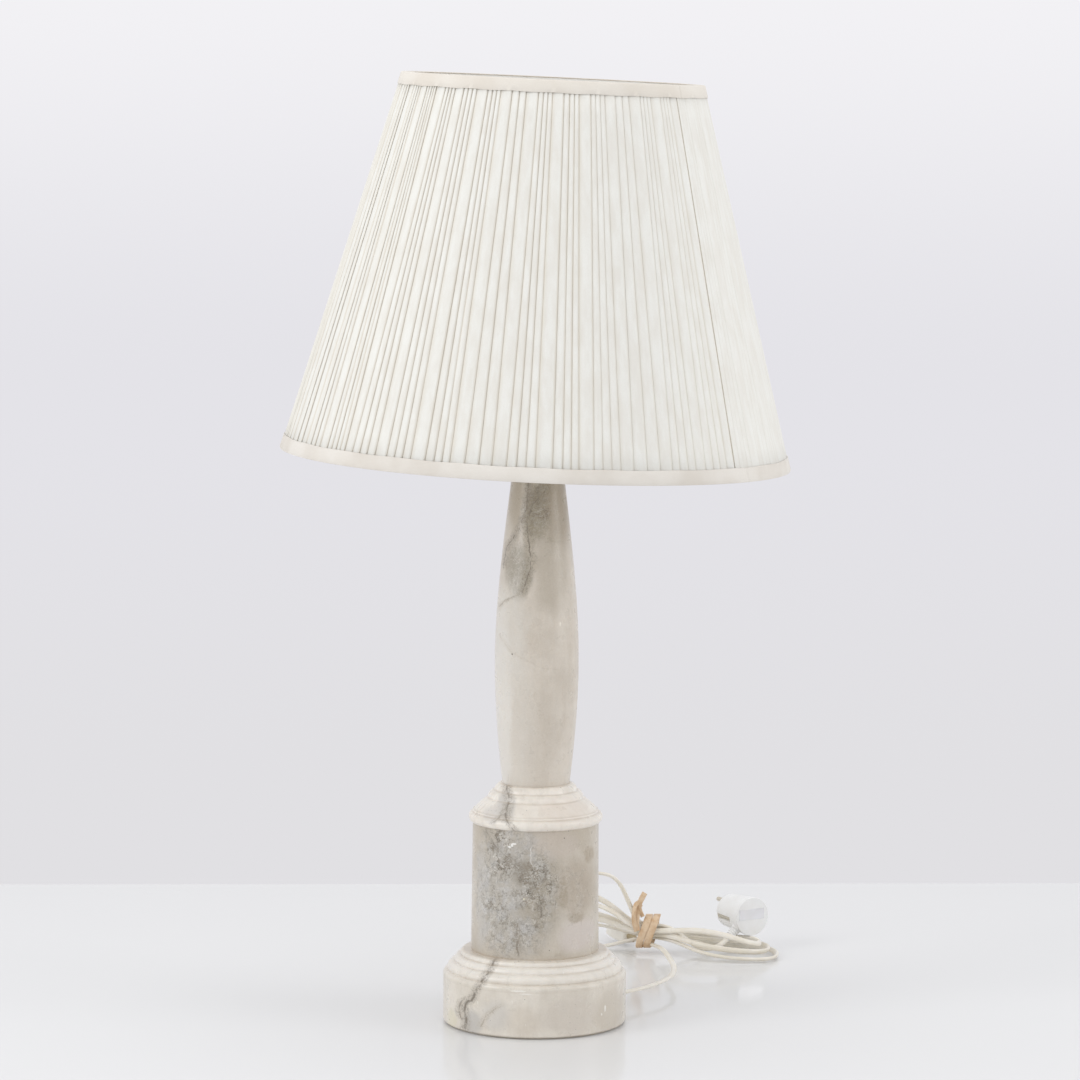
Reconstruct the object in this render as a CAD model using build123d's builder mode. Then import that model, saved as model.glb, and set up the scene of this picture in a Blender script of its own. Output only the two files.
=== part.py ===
# Column table lamp: a turned alabaster base on one threaded tube, a pleated shade on a harp,
# and a flat flex with an in-line switch, a tied hank and a round plug.
# Millimetres. +Z is up and -Y is the front. The origin is the middle of the felt's underside.

import os
from math import cos, pi, radians, sin, sqrt, tan

from build123d import *

os.makedirs("parts", exist_ok=True)

# ---- driving dimensions ---------------------------------------------------------------------

seat_gap = 0.1              # between nested pieces of one body
running_gap = 0.3           # between pieces that move past each other

# threaded tube and its fixings
rod_diameter = 10.0
rod_bore = 7.6
rod_hole_clearance = 0.5    # stone and fittings around the tube, radially
fitting_clearance = 0.05    # metal fittings around the tube, radially
washer_diameter = 50.0
washer_thickness = 3.0
nut_across_flats = 17.0
nut_height = 6.0
rod_end_reach = 1.0         # tube below the bottom nut
rod_chamfer = 0.6
nut_crown = 0.8             # height over which a nut's corners are cut away

# foot
felt_diameter = 172.0
felt_thickness = 1.5
foot_diameter = 181.6
foot_height = 73.0          # to the top of the foot, felt included
foot_edge_round = 2.2
recess_diameter = 64.0
recess_ceiling = 33.0       # height of the recess's ceiling above the table
foot_bead_inset = 3.6       # top bead's start inside the first groove
wall_top_drop = 25.5        # wall's rounded edge below the foot's top
step_bulge = 0.21           # rise of each rounded step, as a share of its length
step_falls = (4.7, 11.0, 19.7)      # grooves below the foot's top
step_insets = (17.1, 10.9, 4.2)     # grooves inside the foot's wall

# drum
drum_bottom_diameter = 126.6
drum_top_diameter = 124.6
drum_height = 128.0

# cap moulding, from its own underside
cap_height = 39.0
cap_bead_height = 10.2
cap_bead_reach = 4.0        # bead outside the drum
cap_lip_height = 1.8
cap_cone_height = 11.4
cap_cone_inset = 12.6
cap_ring_height = 8.2
cap_ring_inset = 6.6
cap_groove = 0.6
cap_edge_break = 0.7
cap_cone_setback = 1.4      # foot of the cone inside the drum's edge
cap_cone_bulge = 0.5
cap_ring_bulge = 1.2
cap_seat_bulge = 0.9
column_seat_reach = 1.2     # cap outside the column's base

# column, from its own underside
column_height = 360.0
column_base_diameter = 66.8
column_belly_diameter = 82.8
column_belly_height = 127.0
column_shoulder_diameter = 54.1
column_shoulder_height = 294.0
column_top_diameter = 38.6
column_base_slope = 0.115   # outwards per unit of height
column_top_slope = -0.117

# cord and its way out of the foot
cord_diameter = 4.4
cord_exit_angle = 37.0      # from +X towards +Y
cord_exit_height = 14.0
cord_inner_bend = 9.5
bush_bore_clearance = 0.1
bush_sleeve_diameter = 9.0
bush_sleeve_length = 14.0
bush_flange_diameter = 13.0
bush_flange_thickness = 2.0
bush_flange_taper = 12.0
inner_cord_rise = 3.0       # bare flex above the tube's top

# neck, saddle and lampholder
neck_cap_diameter = 42.0
neck_cap_height = 9.0
neck_cap_rim = 1.6
neck_cap_shoulder = 2.5     # flat top outside the nut
neck_cap_hollow = 7.5
neck_cap_hollow_share = 0.42
neck_nut_height = 5.0
saddle_width = 14.0
saddle_thickness = 2.0
saddle_half_span = 31.5     # from the axis to each harp leg
saddle_bend_setback = 4.0
saddle_arm_start = 2.0
socket_wall = 1.2
socket_depth = 16.0
socket_floor = 2.0
socket_rise = 6.0           # socket's underside above the saddle strip's top
leg_clearance = 0.55
holder_diameter = 40.0
holder_base_height = 16.0
holder_shell_height = 36.0
holder_wall = 2.4
holder_taper_run = 6.0
holder_taper_rise = 8.0
holder_floor = 4.0
holder_floor_rise = 5.5     # from the cup's floor to its wall
holder_floor_radius = 12.0
holder_boss_wall = 3.0      # around the tube
shell_skirt_height = 6.0
shell_skirt_step = 1.6
shell_lip_drop = 2.0
shell_bore_clearance = 0.5
shell_rebate = 2.4          # seat of the porcelain insert
holder_thread_depth = 12.0  # tube's reach into the holder's base
insert_height = 11.0
insert_hollow_radius = 9.0
insert_roof = 3.5
contact_strip_width = 4.0
contact_strip_length = 7.0
contact_strip_clearance = 0.2
contact_button_radius = 4.0
contact_foot = 2.0          # strips above the shell's seat
pole_screw_radius = 1.9
pole_screw_spacing = 10.8
pole_screw_height = 4.0
contact_rise = 1.6          # bulb's tip above the insert
lamp_cap_diameter = 26.0
lamp_cap_length = 25.0
cap_tip_radius = 4.5
cap_tip_height = 1.5
cap_shoulder_inset = 3.0
cap_shoulder_rise = 4.0
cap_edge_rise = 6.0
lamp_diameter = 60.0
lamp_neck_inset = 0.4       # glass inside the cap's rim
lamp_neck_flare = 4.5
lamp_neck_length = 20.0
lamp_glass_length = 82.0

# harp and shade, along the leaning axis from the middle of the saddle's sockets
lean_angle = 2.3            # the harp's left leg is not fully home, so the shade leans to +X
harp_wire = 4.4
harp_top = 262.0            # middle of the wire at the top
harp_belly = 62.0
harp_leg_rise = 50.0        # straight part of each leg
harp_belly_rise = 50.0      # from the leg's end to the widest place
harp_belly_draw = 4.0
harp_neck_drop = 72.0       # where the bow starts to close, below the top
harp_shoulder = 12.0
harp_bends = (40.0, 80.0, 80.0, 17.0)
ferrule_diameter = 8.4
ferrule_length = 12.0
ferrule_clearance = 0.08
ferrule_chamfer = 0.8
stud_base_diameter = 12.0
stud_base_height = 2.0
stud_base_sink = 0.4        # base below the top of the wire
stud_seat_clearance = 0.05
stud_diameter = 6.3
stud_length = 17.0
shade_top_level = 302.0
shade_height = 371.0
shade_top_diameter = 296.0
shade_bottom_diameter = 502.0
trim_thickness = 0.8
top_trim_height = 12.0
bottom_trim_height = 14.0
pleat_count = 55
pleat_depth = 1.9
cover_skin = 0.5
cover_inner_flats = 4       # per pleat repeat
lining_thickness = 1.2
ring_wire = 3.6
ring_standoff = 0.5         # between the lining and the wire rings
hub_diameter = 30.0
hub_thickness = 2.0
hub_hole_clearance = 0.6
arm_count = 3
arm_start_angle = 60.0
arm_root_inset = 3.0        # arm's end inside the hub's rim
arm_knee_inset = 34.0
arm_bend = 18.0
stud_base_room = 1.2
washer_room = 0.8
shade_washer_diameter = 18.0
shade_washer_thickness = 1.2
knurl_diameter = 15.0
knurl_height = 9.0
knurl_flutes = 18
knurl_flute_diameter = 1.6
knurl_flute_shift = 0.2     # flutes' centres outside the rim
knurl_crown_inset = 2.2
knurl_crown_height = 2.4
knurl_crown_taper = 30.0
knurl_thread_clearance = 0.06

# in-line switch
switch_body_length = 40.0
switch_far_width = 25.0
switch_near_width = 16.0
switch_base_height = 8.0
switch_cover_height = 7.0
switch_corner = 3.0
switch_edge_round = 1.6
switch_waist_share = 0.2    # where the sides reach full width, along the half length
switch_end_share = 0.8
switch_end_width_share = 0.72
rocker_shift_share = 0.1
switch_relief_length = 10.0
switch_relief_diameter = 8.6
switch_relief_tip_diameter = 6.0
switch_relief_ribs = 4
switch_relief_rib_width = 1.0
switch_relief_rib_rise = 0.7
switch_relief_neck = 1.0
rocker_length = 14.0
rocker_width = 8.0
rocker_depth = 5.0
rocker_rise = 1.8
rocker_gap = 0.9
rocker_edge_drop = 1.2
rocker_middle_rise = 0.5
rocker_low_rise = 0.3
rocker_belly_half_width = 2.0
rocker_belly_clearance = 0.9
rocker_pin_diameter = 2.0
rocker_pin_drop = 2.5       # pins' axis below the cover's top
rocker_pin_reach = 1.0      # pins into the cover's walls
rocker_pin_clearance = 0.05
switch_screw_diameter = 5.0
switch_screw_height = 0.5
switch_screw_places = (-0.55, 0.72)     # along the half length

# plug
plug_back_diameter = 41.5
plug_front_diameter = 35.0
plug_length = 44.0
plug_edge_round = 3.0
plug_back_round = 0.8
plug_pin_diameter = 4.8
plug_pin_spacing = 19.0
plug_pin_length = 19.0
plug_pin_round = 1.6
earth_slot_width = 6.0
earth_slot_depth = 2.6
earth_slot_length = 29.0
earth_clip_thickness = 0.8
earth_clip_side_gap = 0.5
earth_clip_end_gap = 1.0
earth_clip_front_gap = 0.5
earth_clip_seat_gap = 0.05
plug_relief_diameter = 9.0
plug_relief_tip_diameter = 6.0
plug_relief_length = 18.0
plug_relief_depth_share = 0.18
plug_relief_sink = 3.0      # root inside the plug's rim
plug_relief_seat_wall = 1.0
plug_relief_seat_length = 4.5
plug_relief_ribs = 5
plug_relief_rib_width = 1.4
plug_relief_rib_rise = 0.6
plug_relief_rib_fall = 1.4
foil_width = 32.0
foil_height = 11.4
foil_shift = (-1.0, 2.6)    # from the middle of the plug's back
foil_thickness = 0.2

# hank: the tie holds the strands in two rows of slots, turned by half a right angle
waist = Vector(126.0, 330.0, 22.0)
waist_half_length = 16.0
slot_turn = 45.0
slot_pitch = 6.5
slot_half_spread = 3.6
lobe_knee = 58.0            # from the waist to where the strands have fanned out
right_back_rise = 3.0
right_front_rise = 0.5
right_front_knee_rises = (2.5, 2.5, 10.0)
left_least_bulge = 15.0     # least half height of a left lobe
left_least_level = 3.5
left_entry_level = 30.0
high_loop_fall = [(88.0, 319.0, 83.0), (101.0, 321.0, 54.0)]    # into the tie from above
right_lobe_middle = 316.0   # y of the right lobe's centre line
right_lobe_lengths = (131.0, 122.0, 113.0)
right_lobe_half_widths = (38.0, 31.0, 25.0)
right_lobe_fan = 0.8
right_layer_start = 3.0
right_layer_pitch = 6.3
left_plane_pitch = 7.5
left_lobe_lengths = (112.0, 100.0, 118.0)
left_lower_levels = (4.0, 40.0, 58.0)
left_upper_levels = (44.0, 64.0, 90.0)
tie_inner_width = 24.0
tie_inner_height = 31.0
tie_corner = 9.0
tie_band = 1.8
tie_wrap_width = 7.6
tie_wrap_gap = 0.8
tie_wraps = 3
tie_tail_length = 26.0
tie_rise = 1.0              # tie's middle above the waist
tie_tail_width = 6.0
tie_tail_thickness = 2.2
tie_tail_shift = 6.0        # tail to the left of the waist's middle
tie_tail_direction = (-0.2, 0.0, 1.0)

# the free flex, point by point
lead_first_run = 33.0
lead_route = [
    (125.0, 105.0, 15.0), (142.0, 145.0, 15.0), (145.0, 188.0, 16.0),
    (140.0, 228.0, 17.0), (136.0, 264.0, 17.0), (131.0, 302.0, 13.0), (122.0, 330.0, 10.5),
]
switch_near_end = Vector(106.5, 352.0, 11.0)
switch_lead_run = 12.0      # last run before the switch, in line with it
switch_tail_run = 20.0      # first run after the switch
switch_direction = Vector(-0.39, 0.91, 0.12).normalized()
switch_tail_route = [
    (54.0, 437.0, 13.0), (22.0, 425.0, 6.0), (4.0, 396.0, 5.0), (0.0, 364.0, 14.0), (18.0, 344.0, 29.0),
]
plug_strand_route = [(158.0, 322.0, 20.0), (175.0, 320.0, 7.0)]
plug_approach = 14.0        # last run, along the plug's relief
plug_back = Vector(232.0, 334.0, 39.8)
plug_facing = Vector(0.53, -0.848, 0.0).normalized()
plug_roll = 13.0            # left earth clip below the horizontal, degrees
plug_relief_fall = 40.0     # relief below the horizontal, degrees

# ---- derived levels and helpers -------------------------------------------------------------

foot_radius = foot_diameter / 2
drum_level = foot_height
cap_level = drum_level + drum_height
column_level = cap_level + cap_height
column_top = column_level + column_height
neck_nut_level = column_top + neck_cap_height
saddle_level = neck_nut_level + neck_nut_height
holder_level = saddle_level + saddle_thickness
rod_top = holder_level + holder_thread_depth
rod_bottom = recess_ceiling - washer_thickness - nut_height - rod_end_reach
bore_radius = rod_diameter / 2 + rod_hole_clearance
fitting_bore_radius = rod_diameter / 2 + fitting_clearance
socket_level = holder_level + socket_rise
lean_level = socket_level + socket_floor + (socket_depth - socket_floor) / 2
socket_bore_radius = harp_wire / 2 + leg_clearance
socket_radius = socket_bore_radius + socket_wall

lean_direction = Vector(sin(radians(lean_angle)), 0, cos(radians(lean_angle)))
lean_across = Vector(cos(radians(lean_angle)), 0, -sin(radians(lean_angle)))
lean_origin = Vector(0, 0, lean_level)
lean_section = Plane(origin=lean_origin, x_dir=lean_across, z_dir=(0, -1, 0))
lean_axis = Axis(lean_origin, lean_direction)


def lean_plane(level):
    """A plane square to the leaning axis, at a level along it."""
    return Plane(origin=lean_origin + lean_direction * level, x_dir=lean_across, z_dir=lean_direction)


def radial_plane(distance, height, angle):
    """A plane that faces outwards at an angle round the base."""
    out = Vector(cos(radians(angle)), sin(radians(angle)), 0)
    return Plane(origin=out * distance + Vector(0, 0, height), x_dir=(-out.Y, out.X, 0), z_dir=out)


def save(part, label):
    part.part.label = label
    export_step(part.part, f"parts/{label}.step")


def route_radii(points):
    """The largest arc that each corner's two runs allow."""
    points = [Vector(*p) for p in points]
    radii = []
    for before, corner, after in zip(points, points[1:], points[2:]):
        come, go = corner - before, after - corner
        half_turn = radians(come.get_angle(go)) / 2
        radii.append(0.45 * min(come.length, go.length) / tan(half_turn))
    return radii


def route_length(points, radii):
    points = [Vector(*p) for p in points]
    length = sum((b - a).length for a, b in zip(points, points[1:]))
    for before, corner, after, radius in zip(points, points[1:], points[2:], radii):
        turn = radians((corner - before).get_angle(after - corner))
        length -= 2 * radius * tan(turn / 2) - radius * turn
    return length


def report_tube(name, part, points, radii):
    length = route_length(points, radii)
    section = pi * (cord_diameter / 2) ** 2
    volume = part.part.volume
    print(f"{name}: length {length:.0f}, volume {volume:.0f}, section x length {section * length:.0f}")
    print("  radii " + " ".join(f"{r:.0f}" for r in radii))


def start_plane(points):
    first, second = Vector(*points[0]), Vector(*points[1])
    return Plane(origin=first, z_dir=second - first)


# ---- base: felt, foot, drum, cap, column ----------------------------------------------------

with BuildPart() as base_felt:
    with BuildSketch():
        Circle(felt_diameter / 2)
    extrude(amount=felt_thickness)
save(base_felt, "base_felt")

# foot wall, then three rounded steps up to the drum
step_radii = [foot_radius - inset for inset in step_insets]
step_levels = [foot_height - fall for fall in step_falls]
drum_bottom_radius = drum_bottom_diameter / 2
with BuildPart() as foot:
    with BuildSketch(Plane.XZ):
        with BuildLine():
            top_bead_start = (step_radii[0] - foot_bead_inset, foot_height)
            edge_top = (foot_radius, felt_thickness + foot_edge_round)
            edge_bottom = (foot_radius - foot_edge_round, felt_thickness)
            Line((foot_radius, foot_height - wall_top_drop), edge_top)
            RadiusArc(edge_top, edge_bottom, foot_edge_round)
            Polyline(edge_bottom, (bore_radius, felt_thickness), (bore_radius, foot_height), top_bead_start)
            ends = [top_bead_start] + list(zip(step_radii, step_levels))
            ends.append((foot_radius, foot_height - wall_top_drop))
            for (r1, z1), (r2, z2) in zip(ends, ends[1:]):
                crest = ((r1 + r2) / 2 + (z1 - z2) * step_bulge, (z1 + z2) / 2 + (r2 - r1) * step_bulge)
                ThreePointArc((r1, z1), crest, (r2, z2))
        make_face()
    revolve(axis=Axis.Z)
    with BuildSketch(Plane.XY.offset(felt_thickness)):
        Circle(recess_diameter / 2)
    extrude(amount=recess_ceiling - felt_thickness, mode=Mode.SUBTRACT)
    with BuildSketch(radial_plane(0, cord_exit_height, cord_exit_angle)):
        Circle(bush_sleeve_diameter / 2 + seat_gap)
    extrude(amount=foot_radius + 1, mode=Mode.SUBTRACT)
save(foot, "foot")

with BuildPart() as drum:
    with BuildSketch(Plane.XZ):
        with BuildLine():
            Polyline(
                (bore_radius, drum_level),
                (drum_bottom_radius, drum_level),
                (drum_top_diameter / 2, cap_level),
                (bore_radius, cap_level),
                close=True,
            )
        make_face()
    revolve(axis=Axis.Z)
save(drum, "drum")

# cap: bead, lip, cone, then two rounded rings under the column
with BuildPart() as cap_moulding:
    with BuildSketch(Plane.XZ):
        bead_radius = drum_top_diameter / 2 + cap_bead_reach
        bead_foot = drum_top_diameter / 2 + cap_edge_break
        bead_top = cap_level + cap_bead_height
        lip_top = bead_top + cap_groove + cap_lip_height
        cone_start = drum_top_diameter / 2 - cap_cone_setback
        cone_end = cone_start - cap_cone_inset
        cone_top = lip_top + cap_cone_height
        ring_start = cone_end - cap_groove
        ring_end = ring_start - cap_ring_inset
        ring_top = cone_top + cap_ring_height
        top_ring_end = column_base_diameter / 2 + column_seat_reach
        with BuildLine():
            Polyline(
                (top_ring_end, column_level), (bore_radius, column_level),
                (bore_radius, cap_level), (bead_foot, cap_level),
            )
            ThreePointArc(
                (bead_foot, cap_level), (bead_radius, cap_level + cap_bead_height / 2), (bead_foot, bead_top)
            )
            Polyline((bead_foot, bead_top), (bead_foot - cap_groove, bead_top + cap_groove))
            ThreePointArc(
                (bead_foot - cap_groove, bead_top + cap_groove),
                (bead_foot - cap_edge_break, lip_top - cap_edge_break),
                (cone_start, lip_top),
            )
            ThreePointArc(
                (cone_start, lip_top),
                ((cone_start + cone_end) / 2 + cap_cone_bulge, (lip_top + cone_top) / 2 + cap_cone_bulge),
                (cone_end, cone_top),
            )
            Line((cone_end, cone_top), (ring_start, cone_top + cap_groove))
            ThreePointArc(
                (ring_start, cone_top + cap_groove),
                ((ring_start + ring_end) / 2 + cap_ring_bulge, (cone_top + ring_top) / 2 + cap_ring_bulge),
                (ring_end, ring_top),
            )
            seat_middle = ((ring_end + top_ring_end) / 2, (ring_top + column_level) / 2)
            ThreePointArc(
                (ring_end, ring_top),
                (seat_middle[0] + cap_seat_bulge, seat_middle[1] + cap_seat_bulge),
                (top_ring_end, column_level),
            )
        make_face()
    revolve(axis=Axis.Z)
save(cap_moulding, "cap_moulding")

with BuildPart() as column:
    with BuildSketch(Plane.XZ):
        with BuildLine():
            Spline(
                (column_base_diameter / 2, column_level),
                (column_belly_diameter / 2, column_level + column_belly_height),
                (column_shoulder_diameter / 2, column_level + column_shoulder_height),
                (column_top_diameter / 2, column_top),
                tangents=((column_base_slope, 1), (column_top_slope, 1)),
            )
            Polyline(
                (column_top_diameter / 2, column_top),
                (bore_radius, column_top),
                (bore_radius, column_level),
                (column_base_diameter / 2, column_level),
            )
        make_face()
    revolve(axis=Axis.Z)
save(column, "column")

# ---- threaded tube and fixings --------------------------------------------------------------

with BuildPart() as threaded_rod:
    with BuildSketch(Plane.XY.offset(rod_bottom)):
        Circle(rod_diameter / 2)
        Circle(rod_bore / 2, mode=Mode.SUBTRACT)
    extrude(amount=rod_top - rod_bottom)
    chamfer(threaded_rod.edges().filter_by(GeomType.CIRCLE).sort_by(SortBy.RADIUS)[-2:], rod_chamfer)
save(threaded_rod, "threaded_rod")

with BuildPart() as bottom_washer:
    with BuildSketch(Plane.XY.offset(recess_ceiling - washer_thickness)):
        Circle(washer_diameter / 2)
        Circle(fitting_bore_radius, mode=Mode.SUBTRACT)
    extrude(amount=washer_thickness)
save(bottom_washer, "bottom_washer")


def hex_nut(level, height):
    with BuildPart() as nut:
        with BuildSketch(Plane.XY.offset(level)):
            RegularPolygon(nut_across_flats / 2, 6, major_radius=False)
            Circle(fitting_bore_radius, mode=Mode.SUBTRACT)
        extrude(amount=height)
        # rounded crowns: each corner is cut by a shallow cone
        with BuildSketch(Plane.XZ):
            with BuildLine():
                corner = nut_across_flats / sqrt(3)
                Polyline(
                    (fitting_bore_radius, level), (nut_across_flats / 2, level), (corner, level + nut_crown),
                    (corner, level + height - nut_crown), (nut_across_flats / 2, level + height),
                    (fitting_bore_radius, level + height), close=True,
                )
            make_face()
        revolve(axis=Axis.Z, mode=Mode.INTERSECT)
    return nut


bottom_nut = hex_nut(recess_ceiling - washer_thickness - nut_height, nut_height)
save(bottom_nut, "bottom_nut")
neck_nut = hex_nut(neck_nut_level, neck_nut_height)
save(neck_nut, "neck_nut")

# bush where the flex leaves the foot's wall
bush_face = foot_radius + bush_flange_thickness
with BuildPart() as cord_bush:
    with BuildSketch(radial_plane(foot_radius - bush_sleeve_length, cord_exit_height, cord_exit_angle)):
        Circle(bush_sleeve_diameter / 2)
    extrude(amount=bush_sleeve_length)
    with BuildSketch(radial_plane(foot_radius, cord_exit_height, cord_exit_angle)):
        Circle(bush_flange_diameter / 2)
    extrude(amount=bush_flange_thickness, taper=bush_flange_taper)
    with BuildSketch(radial_plane(foot_radius - bush_sleeve_length, cord_exit_height, cord_exit_angle)):
        Circle(cord_diameter / 2 + bush_bore_clearance)
    extrude(amount=bush_sleeve_length + bush_flange_thickness, mode=Mode.SUBTRACT)
save(cord_bush, "cord_bush")

exit_plane = radial_plane(bush_face, cord_exit_height, cord_exit_angle)
exit_point = exit_plane.origin
inner_top = rod_top + inner_cord_rise
with BuildPart() as inner_cord:
    with BuildLine():
        FilletPolyline(exit_point, (0, 0, cord_exit_height), (0, 0, inner_top), radius=cord_inner_bend)
    with BuildSketch(Plane(origin=exit_point, z_dir=-exit_plane.z_dir)):
        Circle(cord_diameter / 2)
    sweep()
save(inner_cord, "inner_cord")

# ---- neck, saddle, lampholder and bulb ------------------------------------------------------

with BuildPart() as neck_cap:
    with BuildSketch(Plane.XZ):
        with BuildLine():
            neck_radius, shoulder_radius = neck_cap_diameter / 2, nut_across_flats / 2 + neck_cap_shoulder
            Polyline(
                (fitting_bore_radius, neck_nut_level),
                (fitting_bore_radius, column_top),
                (neck_radius, column_top),
                (neck_radius, column_top + neck_cap_rim),
            )
            ThreePointArc(
                (neck_radius, column_top + neck_cap_rim),
                (neck_radius - neck_cap_hollow, column_top + neck_cap_height * neck_cap_hollow_share),
                (shoulder_radius, neck_nut_level),
            )
            Line((shoulder_radius, neck_nut_level), (fitting_bore_radius, neck_nut_level))
        make_face()
    revolve(axis=Axis.Z)
save(neck_cap, "neck_cap")

# one bent strip: flat under the lampholder, an arm up each side, a socket on each arm
arm_face = saddle_half_span - socket_radius
with BuildPart() as harp_saddle:
    with BuildSketch(Plane.XY.offset(saddle_level)):
        Rectangle(2 * arm_face, saddle_width)
        Circle(fitting_bore_radius, mode=Mode.SUBTRACT)
    extrude(amount=saddle_thickness)
    for side in (-1, 1):
        with BuildSketch(Plane.XZ.offset(-saddle_width / 2)):
            with BuildLine():
                Polyline(
                    (side * (arm_face - saddle_bend_setback), saddle_level),
                    (side * (arm_face - saddle_bend_setback), saddle_level + saddle_thickness),
                    (side * (arm_face - saddle_thickness / 2), socket_level + saddle_arm_start),
                    (side * (arm_face - saddle_thickness / 2), socket_level + socket_depth),
                    (side * (arm_face + saddle_thickness / 2), socket_level + socket_depth),
                    (side * (arm_face + saddle_thickness / 2), saddle_level + saddle_thickness),
                    (side * (arm_face - saddle_thickness / 2), saddle_level),
                    close=True,
                )
            make_face()
        extrude(amount=saddle_width)
        with BuildSketch(Plane.XY.offset(socket_level)):
            with Locations((side * saddle_half_span, 0)):
                Circle(socket_radius)
        extrude(amount=socket_depth)
    for side in (-1, 1):
        with BuildSketch(Plane.XY.offset(socket_level + socket_floor)):
            with Locations((side * saddle_half_span, 0)):
                Circle(socket_bore_radius)
        extrude(amount=socket_depth - socket_floor, mode=Mode.SUBTRACT)
save(harp_saddle, "harp_saddle")

holder_radius = holder_diameter / 2
shell_level = holder_level + holder_base_height
shell_top = shell_level + holder_shell_height
lamp_level = shell_level + insert_height + contact_rise
with BuildPart() as lampholder_base:
    with BuildSketch(Plane.XZ):
        with BuildLine():
            cup_floor = holder_level + holder_floor
            boss_radius = rod_diameter / 2 + holder_boss_wall
            boss_top = rod_top - rod_end_reach
            Polyline(
                (fitting_bore_radius, holder_level),
                (holder_radius - holder_taper_run, holder_level),
                (holder_radius, holder_level + holder_taper_rise),
                (holder_radius, shell_level),
                (holder_radius - holder_wall, shell_level),
                (holder_radius - holder_wall, cup_floor + holder_floor_rise),
                (holder_floor_radius, cup_floor),
                (boss_radius, cup_floor),
                (boss_radius, boss_top),
                (fitting_bore_radius, boss_top),
                close=True,
            )
        make_face()
    revolve(axis=Axis.Z)
save(lampholder_base, "lampholder_base")

shell_bore = lamp_cap_diameter / 2 + running_gap + shell_bore_clearance
shell_seat_radius = shell_bore + shell_rebate
with BuildPart() as lampholder_shell:
    with BuildSketch(Plane.XZ):
        with BuildLine():
            Polyline(
                (shell_seat_radius, shell_level),
                (holder_radius, shell_level),
                (holder_radius, shell_level + shell_skirt_height),
                (holder_radius - shell_skirt_step, shell_level + shell_skirt_height + shell_skirt_step),
                (holder_radius - shell_skirt_step, shell_top - shell_lip_drop),
                (holder_radius - holder_wall, shell_top),
                (shell_bore, shell_top),
                (shell_bore, shell_level + insert_height),
                (shell_seat_radius, shell_level + insert_height),
                close=True,
            )
        make_face()
    revolve(axis=Axis.Z)
save(lampholder_shell, "lampholder_shell")

with BuildPart() as lampholder_insert:
    with BuildSketch(Plane.XY.offset(shell_level)):
        Circle(shell_seat_radius - seat_gap)
    extrude(amount=insert_height - seat_gap)
    with BuildSketch(Plane.XY.offset(shell_level)):
        Circle(insert_hollow_radius)
    extrude(amount=insert_height - insert_roof, mode=Mode.SUBTRACT)
    with BuildSketch(Plane.XY.offset(shell_level)):
        slot_growth = 2 * contact_strip_clearance
        Rectangle(contact_strip_width + slot_growth, contact_strip_length + slot_growth)
    extrude(amount=insert_height, mode=Mode.SUBTRACT)
save(lampholder_insert, "lampholder_insert")

contact_top = lamp_level - running_gap
with BuildPart() as lampholder_contacts:
    with BuildSketch(Plane.XY.offset(shell_level + contact_foot)):
        Rectangle(contact_strip_width, contact_strip_length)
    extrude(amount=contact_top - shell_level - contact_foot)
    with BuildSketch(Plane.XY.offset(shell_level + insert_height)):
        Circle(contact_button_radius)
    extrude(amount=contact_top - shell_level - insert_height)
    # terminal screws of the two poles
    with BuildSketch(Plane.XY.offset(shell_level + contact_foot)):
        with Locations((0, pole_screw_spacing / 2), (0, -pole_screw_spacing / 2)):
            Circle(pole_screw_radius)
    extrude(amount=pole_screw_height)
save(lampholder_contacts, "lampholder_contacts")

with BuildPart() as bulb_cap:
    with BuildSketch(Plane.XZ):
        with BuildLine():
            cap_radius = lamp_cap_diameter / 2
            Polyline(
                (0, lamp_level), (cap_tip_radius, lamp_level), (cap_tip_radius, lamp_level + cap_tip_height),
                (cap_radius - cap_shoulder_inset, lamp_level + cap_shoulder_rise),
                (cap_radius, lamp_level + cap_edge_rise), (cap_radius, lamp_level + lamp_cap_length),
                (0, lamp_level + lamp_cap_length), close=True,
            )
        make_face()
    revolve(axis=Axis.Z)
save(bulb_cap, "bulb_cap")

glass_level = lamp_level + lamp_cap_length
with BuildPart() as bulb_glass:
    with BuildSketch(Plane.XZ):
        with BuildLine():
            glass_top = glass_level + lamp_glass_length
            belly = glass_top - lamp_diameter / 2
            lamp_neck_radius = lamp_cap_diameter / 2 - lamp_neck_inset
            Spline(
                (lamp_neck_radius, glass_level),
                (lamp_neck_radius + lamp_neck_flare, glass_level + lamp_neck_length),
                (lamp_diameter / 2, belly),
                tangents=((0, 1), (0, 1)),
            )
            CenterArc((0, belly), lamp_diameter / 2, 0, 90)
            Polyline((0, glass_top), (0, glass_level), (lamp_neck_radius, glass_level))
        make_face()
    revolve(axis=Axis.Z)
save(bulb_glass, "bulb_glass")

# ---- harp, on the leaning axis --------------------------------------------------------------

lean_drop = saddle_half_span * sin(radians(lean_angle))
leg_end = socket_level + socket_floor + running_gap + seat_gap - lean_level + lean_drop
half_harp = [
    (saddle_half_span, leg_end),
    (saddle_half_span, harp_leg_rise),
    (harp_belly, harp_leg_rise + harp_belly_rise),
    (harp_belly - harp_belly_draw, harp_top - harp_neck_drop),
    (harp_shoulder, harp_top),
]
harp_points = half_harp + [(-x, y) for x, y in reversed(half_harp)]
harp_radii = list(harp_bends) + list(reversed(harp_bends))
with BuildPart() as harp_loop:
    with BuildLine(lean_section):
        FilletPolyline(*harp_points, radius=harp_radii)
    with BuildSketch(lean_plane(leg_end)):
        with Locations((saddle_half_span, 0)):
            Circle(harp_wire / 2)
    sweep()
save(harp_loop, "harp_wire")

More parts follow.
